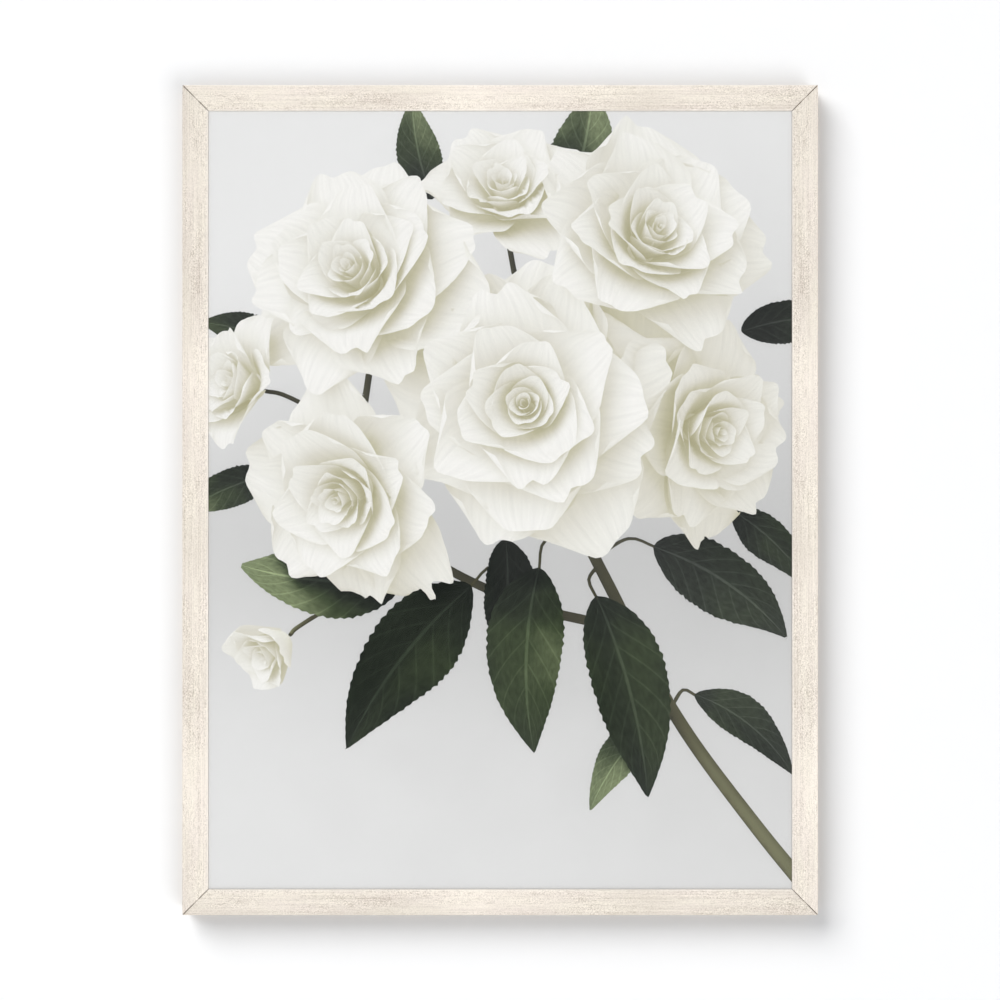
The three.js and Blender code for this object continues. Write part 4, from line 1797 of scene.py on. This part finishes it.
@dataclass
class PrintedSheet:
    """The print: one flat sheet whose front is cut along the picture's outlines.

    A film of air keeps it off the pane and the foam board, so that no two faces lie in one plane.
    """

    node: str = "print_sheet"
    air: float = 0.04 * MM
    inks: PictureInks = field(default_factory=PictureInks)
    sky: SoftSky = field(default_factory=SoftSky)
    bough: Bough = field(default_factory=Bough)

    def build(self) -> None:
        """Presses the picture and gives it the sheet's thickness."""
        low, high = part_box(self.node)
        low.y += self.air
        high.y -= self.air
        model = Model(self.bough.patches())
        log.info("modelled a bough of %d faces", len(model.faces))
        size = (high - low) / MM
        mesh = self.sheet(PicturePress(model, size.x, size.z, self.inks, self.sky).press(), low, high)
        mesh.materials.append(PigmentPrint().material())
        mesh.materials.append(COTTON_PAPER.material())
        fit(new_object("print", mesh), "printed_paper", self.node)

    def sheet(self, picture: PressedPicture, low: Vector, high: Vector) -> Mesh:
        """The closed sheet, with the picture's ink, its place on the plants and what it shows as attributes.

        Args:
            picture: The pressed picture.
            low: The sheet's lowest corner.
            high: Its highest corner.

        Returns:
            The mesh, whose first faces are the picture's.
        """
        middle = (low + high) / 2
        count, faces = len(picture.points), picture.faces
        front = np.stack([
            picture.points[:, 0] * MM + middle.x, np.full(count, low.y), picture.points[:, 1] * MM + middle.z,
        ], axis=-1)
        rim = self.rim(faces)
        points = np.concatenate([front, front[rim] * [1, 0, 1] + [0, high.y, 0]])
        number = {vertex: count + i for i, vertex in enumerate(rim)}
        walls = [(a, b, number[b], number[a]) for a, b in zip(rim, rim[1:] + rim[:1])]
        mesh = bpy.data.meshes.new("print")
        mesh.from_pydata(points.tolist(), [], [*faces.tolist(), *walls, list(number.values())])
        mesh.validate()
        loops, printed = len(mesh.loops), 3 * len(faces)
        paint, plant, kind = np.ones((loops, 4)), np.zeros((loops, 2)), np.zeros(len(mesh.polygons))
        paint[:printed, :3] = picture.ink.reshape(-1, 3)
        plant[:printed] = picture.place.reshape(-1, 2)
        kind[: len(faces)] = picture.kind
        corner = np.zeros(loops, int)
        mesh.loops.foreach_get("vertex_index", corner)
        across = (points[corner][:, [0, 2]] - [low.x, low.z]) / [high.x - low.x, high.z - low.z]
        mesh.attributes.new("ink", "FLOAT_COLOR", "CORNER").data.foreach_set("color", paint.ravel())
        mesh.uv_layers.new(name="plant").data.foreach_set("uv", plant.ravel())
        mesh.attributes.new("kind", "FLOAT", "FACE").data.foreach_set("value", kind)
        mesh.uv_layers.new(name="OFBake").data.foreach_set("uv", across.ravel())
        bare = np.arange(len(mesh.polygons)) >= len(faces)
        mesh.polygons.foreach_set("material_index", bare.astype(int))
        return mesh

    @staticmethod
    def rim(faces: Array) -> list[int]:
        """The sheet's outer vertices in order, against the turn of its faces.

        Args:
            faces: The corners of each triangle.

        Returns:
            The vertices.
        """
        ways = set(map(tuple, half_edges(faces).tolist()))
        after = {b: a for a, b in ways if (b, a) not in ways}
        start = next(iter(after))
        loop = [start]
        while after[loop[-1]] != start:
            loop.append(after[loop[-1]])
        return loop


@dataclass
class Sandwich:
    """What lies in front of the print and behind it: the pane, the foam board and the backing board."""

    board_edge: float = 0.25 * MM

    def build(self) -> None:
        """Dresses the pane and makes the boards."""
        dress_node("glazing_pane", CastAcrylic())
        dress_node("foam_board", FOAM_CORE)
        board = eased_copy("backing_board", "backing_hardboard", self.board_edge, Hardboard().material())
        fit(board, "hardboard", "backing_board")


@dataclass
class Fixings:
    """The steel leaf points round the backing board and the wedges across the mitres.

    Args:
        lift: How far a point's free end stands off the board.
        wander: How far a point is turned at most, in degrees.
        wedge_edge: The width of a wedge's eased edges.
    """

    steel: Finish = SheetMetal("galvanised_steel", "#c3c6c8", "#85888b", 0.7)
    point_width: float = 5.5 * MM
    point_length: float = 15 * MM
    point_thickness: float = 0.5 * MM
    lift: float = 0.35 * MM
    wander: float = 2.5
    wedge_edge: float = 0.05 * MM
    seed: int = 4

    SLOT = "galvanised_steel"
    TREE_INPUTS = {
        "Count": "Int", "First": "Vector", "Step": "Vector", "Turn": "Float", "Width": "Float",
        "Length": "Float", "Thickness": "Float", "Lift": "Float", "Wander": "Float", "Seed": "Int",
    }

    def build(self) -> None:
        """Makes the points of each side and eases the wedges."""
        steel = self.steel.material()
        tree = self.point_tree(steel)
        for number, side in enumerate(Side):
            self.points(side, tree, self.seed + number)
        for node in self.nodes("v_nail_"):
            fit(eased_copy(node, node.replace("v_nail", "wedge"), self.wedge_edge, steel), self.SLOT, node)

    @staticmethod
    def nodes(start: str) -> list[str]:
        """The CAD nodes whose names start so."""
        return sorted(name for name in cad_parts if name.startswith(start))

    def points(self, side: Side, tree: Tree, seed: int) -> None:
        """Lays the leaf points along one side with the node tree.

        Args:
            side: The side.
            tree: The tree that places them.
            seed: The seed of their small turns.
        """
        nodes = self.nodes(f"point_{side.value}_")
        tips = [self.tip(node, side) for node in nodes]
        inward = -side.outward
        values = {
            "Count": len(nodes), "First": tips[0], "Step": tips[1] - tips[0],
            "Turn": math.atan2(inward.x, inward.z), "Width": self.point_width, "Length": self.point_length,
            "Thickness": self.point_thickness, "Lift": self.lift, "Wander": math.radians(self.wander),
            "Seed": seed,
        }
        piece = new_object(f"leaf_points_{side.value}", bpy.data.meshes.new("points"))
        modifier = piece.modifiers.new("leaf points", "NODES")
        modifier.node_group = tree
        for socket in tree.interface.items_tree:
            if socket.in_out == "INPUT":
                modifier[socket.identifier] = values[socket.name]
        bake(piece)
        fit(piece, self.SLOT, *nodes)

    @staticmethod
    def tip(node: str, side: Side) -> Vector:
        """Where a CAD point's tip lies, on the face that touches the board.

        Args:
            node: The point's node.
            side: The side that it is driven into.

        Returns:
            The tip's place.
        """
        low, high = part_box(node)
        middle, half = (low + high) / 2, (high - low) / 2
        return Vector((middle.x + side.outward.x * half.x, low.y, middle.z + side.outward.z * half.z))

    def point_tree(self, steel: Material) -> Tree:
        """A tree that lays pointed leaves in a row, their free ends lifted a little off the board.

        Args:
            steel: Their material.

        Returns:
            The tree, with an input for each size.
        """
        tree = bpy.data.node_groups.new("leaf points in a row", "GeometryNodeTree")
        tree.interface.new_socket("Geometry", in_out="OUTPUT", socket_type="NodeSocketGeometry")
        for name, kind in self.TREE_INPUTS.items():
            tree.interface.new_socket(name, in_out="INPUT", socket_type=f"NodeSocket{kind}")
        add = partial(add_node, tree)
        given = add("NodeGroupInput").outputs
        grid = add("MeshGrid", {"Size X": 1.0, "Size Y": 1.0, "Vertices X": 3, "Vertices Y": 13})
        place = add("SeparateXYZ", {0: add("InputPosition")})
        up = add("Math ADD", {0: place.outputs["Y"], 1: 0.5})
        point = add("MapRange", {0: up, 1: 0.0, 2: 0.2, 3: 0.02, 4: 1.0})
        round_off = add("MapRange SMOOTHSTEP", {0: up, 1: 0.92, 2: 1.0, 3: 1.0, 4: 0.72})
        broad = add("Math MULTIPLY", {0: point, 1: round_off})
        broad = add("Math MULTIPLY", {0: broad, 1: given["Width"]})
        bent = add("MapRange SMOOTHSTEP", {0: up, 1: 0.5, 2: 1.0})
        parts = {
            0: add("Math MULTIPLY", {0: place.outputs["X"], 1: broad}),
            1: add("Math MULTIPLY", {0: bent, 1: given["Lift"]}),
            2: add("Math MULTIPLY", {0: up, 1: given["Length"]}),
        }
        under = add("SetPosition", {"Geometry": grid, "Position": add("CombineXYZ", parts)})
        over = add("ExtrudeMesh", {
            "Mesh": add("FlipFaces", {"Mesh": under}), "Offset": (0, 1, 0),
            "Offset Scale": given["Thickness"], "Individual": False,
        })
        both = add("JoinGeometry")
        for part in (over, under):
            tree.links.new(part.outputs[0], both.inputs[0])
        leaf = add("MergeByDistance", {"Geometry": both, "Distance": 0.005 * MM})
        row = add("MeshLine", {
            "Count": given["Count"], "Start Location": given["First"], "Offset": given["Step"],
        })
        least = add("Math MULTIPLY", {0: given["Wander"], 1: -1.0})
        wander = add("RandomValue", {2: least, 3: given["Wander"], "Seed": given["Seed"]})
        turn = add("CombineXYZ", {1: add("Math ADD", {0: wander, 1: given["Turn"]})})
        laid = add("InstanceOnPoints", {"Points": row, "Instance": leaf, "Rotation": turn})
        real = add("RealizeInstances", {"Geometry": laid})
        add("NodeGroupOutput", {0: add("SetMaterial", {"Geometry": real, "Material": steel})})
        return tree


@dataclass
class Hanging:
    """What the frame hangs by and what keeps it off the wall.

    Args:
        plate_edge: The width of the hanger's eased edges.
        nail_edge: The same for its nails.
        pad_edge: The same for the pads.
    """

    brass: Finish = SheetMetal("brass_plated_steel", "#e0c07a", "#a4813f", 0.15)
    pad: Finish = POLYURETHANE
    plate_edge: float = 0.12 * MM
    nail_edge: float = 0.05 * MM
    pad_edge: float = 0.1 * MM

    def build(self) -> None:
        """Makes the sawtooth hanger, its nails and the two pads."""
        brass, pad = (self.brass.material(), "brass_plate"), (self.pad.material(), "soft_pad")
        for node, edge, (material, slot) in (
            ("hanger_sawtooth", self.plate_edge, brass),
            ("hanger_nail_left", self.nail_edge, brass),
            ("hanger_nail_right", self.nail_edge, brass),
            ("bumper_left", self.pad_edge, pad),
            ("bumper_right", self.pad_edge, pad),
        ):
            fit(eased_copy(node, f"{node}_eased", edge, material), slot, node)


# ---------- the studio


@dataclass(frozen=True)
class PaintedWall(Finish):
    """White emulsion on plaster, over a pale grey floor. From behind it is clear, so that the back shows.

    Args:
        floor: The floor's height.
        top: The height at which the wall is white.
    """

    floor: float
    top: float
    name: str = "white_emulsion"

    def surface(self, add: Adder) -> Node:
        """A matt white with a faint roller texture 3 mm wide, on its front only.

        Args:
            add: Adds a node to the tree.

        Returns:
            The shader.
        """
        spot = add("TexCoord").outputs["Object"]
        roller = add("TexNoise", {"Vector": spot, "Scale": 300.0, "Detail": 3.0})
        height = add("SeparateXYZ", {0: spot}).outputs["Z"]
        up = add("MapRange SMOOTHSTEP", {0: height, 1: self.floor, 2: self.top})
        paint = add("BsdfPrincipled", {
            "Base Color": add("ValToRGB", {0: up}, stops=[(0.0, "#bcbcbc"), (1.0, "#f9f9f9")]),
            "Roughness": 0.9,
            "Normal": add("Bump", {"Height": roller, "Strength": 0.08, "Distance": 0.2 * MM}),
        })
        behind = add("NewGeometry").outputs["Backfacing"]
        return add("MixShader", {0: behind, 1: paint, 2: add("BsdfTransparent")})


class Lights(Enum):
    """What a lamp lights."""

    WALL = "the wall"
    FRAME = "all but the wall"
    ALL = "all"


@dataclass(frozen=True)
class Lamp:
    """A square soft box that faces the middle of the frame.

    Args:
        name: Its name.
        place: Its place from the middle of the frame.
        side: The length of its side.
        watts: Its power.
        lights: What it lights.
        in_gloss: Whether glossy surfaces show it.
    """

    name: str
    place: Point
    side: float
    watts: float
    lights: Lights = Lights.ALL
    in_gloss: bool = True


@dataclass
class Studio:
    """A pale wall that curves into a floor, soft lights and the camera. Lengths are in metres.

    Two lamps throw the frame's shadow on the wall. They stand wide and don't light the frame. The frame's
    own two stand close to the camera, so that its lip throws no shade on the print, and don't show in the
    pane or the leaf. Two more light its back.

    Args:
        above: The wall's top above the middle of the frame.
        below: The floor below it.
        cove: The radius of the bend between wall and floor.
        wall_clearance: The wall's distance from the frame.
        photo_width: The width that the photograph shows, at the front of the frame.
        photo_pixels: Its width in pixels.
        frame_middle: Where it shows the middle of the frame, in pixels from its left and its top.
        focal_length: The lens and, next, the sensor's width in millimetres.
        sky_light: How bright the sky is to the object. The camera sees it as 1.
    """

    half_width: float = 5.0
    above: float = 3.0
    below: float = 1.45
    cove: float = 0.22
    floor_depth: float = 9.0
    wall_clearance: float = 0.0001
    photo_width: float = 0.7708
    photo_pixels: float = 1000.0
    frame_middle: tuple[float, float] = (500.2, 500.0)
    focal_length: float = 100.0
    sensor: float = 36.0
    sky_light: float = 0.25
    lamps: tuple[Lamp, ...] = (
        Lamp("wall_key", (-5.2, -8.0, 6.4), 7.2, 1040, Lights.WALL),
        Lamp("wall_fill", (3.8, -8.0, -3.6), 5.0, 278, Lights.WALL),
        Lamp("front_left", (-0.2, -3.4, 0.26), 0.5, 46.4, Lights.FRAME, in_gloss=False),
        Lamp("front_right", (0.22, -3.4, -0.18), 0.5, 46.4, Lights.FRAME, in_gloss=False),
        Lamp("rear_left", (1.4, 1.6, 1.0), 0.9, 22),
        Lamp("rear_right", (-1.6, 1.5, -0.2), 0.9, 12),
    )

    def build(self) -> None:
        """Sets up everything that isn't part of the object."""
        rails = [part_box(side.rail) for side in Side]
        self.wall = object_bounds()[1].y + self.wall_clearance
        self.front = min(low.y for low, _ in rails)
        self.middle = Vector((0, 0, (max(high.z for _, high in rails) + min(low.z for low, _ in rails)) / 2))
        self.light(self.sweep())
        self.sky()
        self.camera()
        bpy.context.scene.view_settings.view_transform = "Standard"

    def sweep(self) -> Object:
        """The wall and the floor as one curved sheet.

        Returns:
            The sheet.
        """
        floor, cove = self.middle.z - self.below, self.cove
        profile = [
            (self.wall, self.middle.z + self.above),
            *(
                (self.wall - cove * (1 - math.cos(t)), floor + cove * (1 - math.sin(t)))
                for t in np.linspace(0, math.pi / 2, 13)
            ),
            (-self.floor_depth, floor),
        ]
        points = [(x, y, z) for y, z in profile for x in (-self.half_width, self.half_width)]
        faces = [(2 * i, 2 * i + 1, 2 * i + 3, 2 * i + 2) for i in range(len(profile) - 1)]
        mesh = bpy.data.meshes.new("sweep")
        mesh.from_pydata(points, [], faces)
        if mesh.polygons[0].normal.y > 0:
            mesh.flip_normals()
        mesh.shade_smooth()
        mesh.materials.append(PaintedWall(floor, floor + 2 * cove).material())
        wall = new_object("sweep", mesh)
        wall.visible_shadow = False
        wall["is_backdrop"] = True
        return wall

    def light(self, wall: Object) -> None:
        """Sets up the lamps.

        Args:
            wall: The sweep.
        """
        groups = {lights: bpy.data.collections.new(lights.value) for lights in (Lights.WALL, Lights.FRAME)}
        for group in groups.values():
            group.objects.link(wall)
        groups[Lights.FRAME].collection_objects[0].light_linking.link_state = "EXCLUDE"
        for lamp in self.lamps:
            light = bpy.data.lights.new(lamp.name, "AREA")
            light.shape, light.size, light.energy = "SQUARE", lamp.side, lamp.watts
            made = new_object(lamp.name, light)
            made.location = self.middle + Vector(lamp.place)
            made.rotation_euler = (-Vector(lamp.place)).to_track_quat("-Z", "Y").to_euler()
            made.light_linking.receiver_collection = groups.get(lamp.lights)
            made.visible_glossy = lamp.in_gloss

    def sky(self) -> None:
        """An even pale world that the camera sees as white."""
        world = bpy.data.worlds.new("studio")
        world.use_nodes = True
        world.node_tree.nodes.clear()
        add = partial(add_node, world.node_tree)
        seen = add("LightPath").outputs["Is Camera Ray"]
        level = add("MapRange", {0: seen, 3: self.sky_light, 4: 1.0})
        colour = add("Mix RGBA", {0: seen, 6: linear("#f6f9ff"), 7: linear("#fdfdff")})
        add("OutputWorld", {"Surface": add("Background", {"Color": colour, "Strength": level})})
        bpy.context.scene.world = world

    def camera(self) -> None:
        """A long lens straight in front of the frame, at the photograph's scale."""
        lens = bpy.data.cameras.new("camera")
        lens.lens, lens.sensor_width = self.focal_length, self.sensor
        lens.clip_start, lens.clip_end = 0.01, 50.0
        made = new_object("camera", lens)
        scale = self.photo_width / self.photo_pixels
        right, down = (pixel - self.photo_pixels / 2 for pixel in self.frame_middle)
        distance = self.photo_width * self.focal_length / self.sensor
        made.location = (self.middle.x - right * scale, self.front - distance, self.middle.z + down * scale)
        made.rotation_euler = (math.pi / 2, 0, 0)
        bpy.context.scene.camera = made


# ---------- the whole


def main() -> None:
    """Builds the framed print inside its CAD frame, and the studio round it."""
    logging.basicConfig(level=logging.INFO, format="%(name)s %(message)s")
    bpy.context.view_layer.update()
    Studio().build()
    for assembly in (Moulding(), PrintedSheet(), Sandwich(), Fixings(), Hanging()):
        assembly.build()


if __name__ == "__main__":
    main()
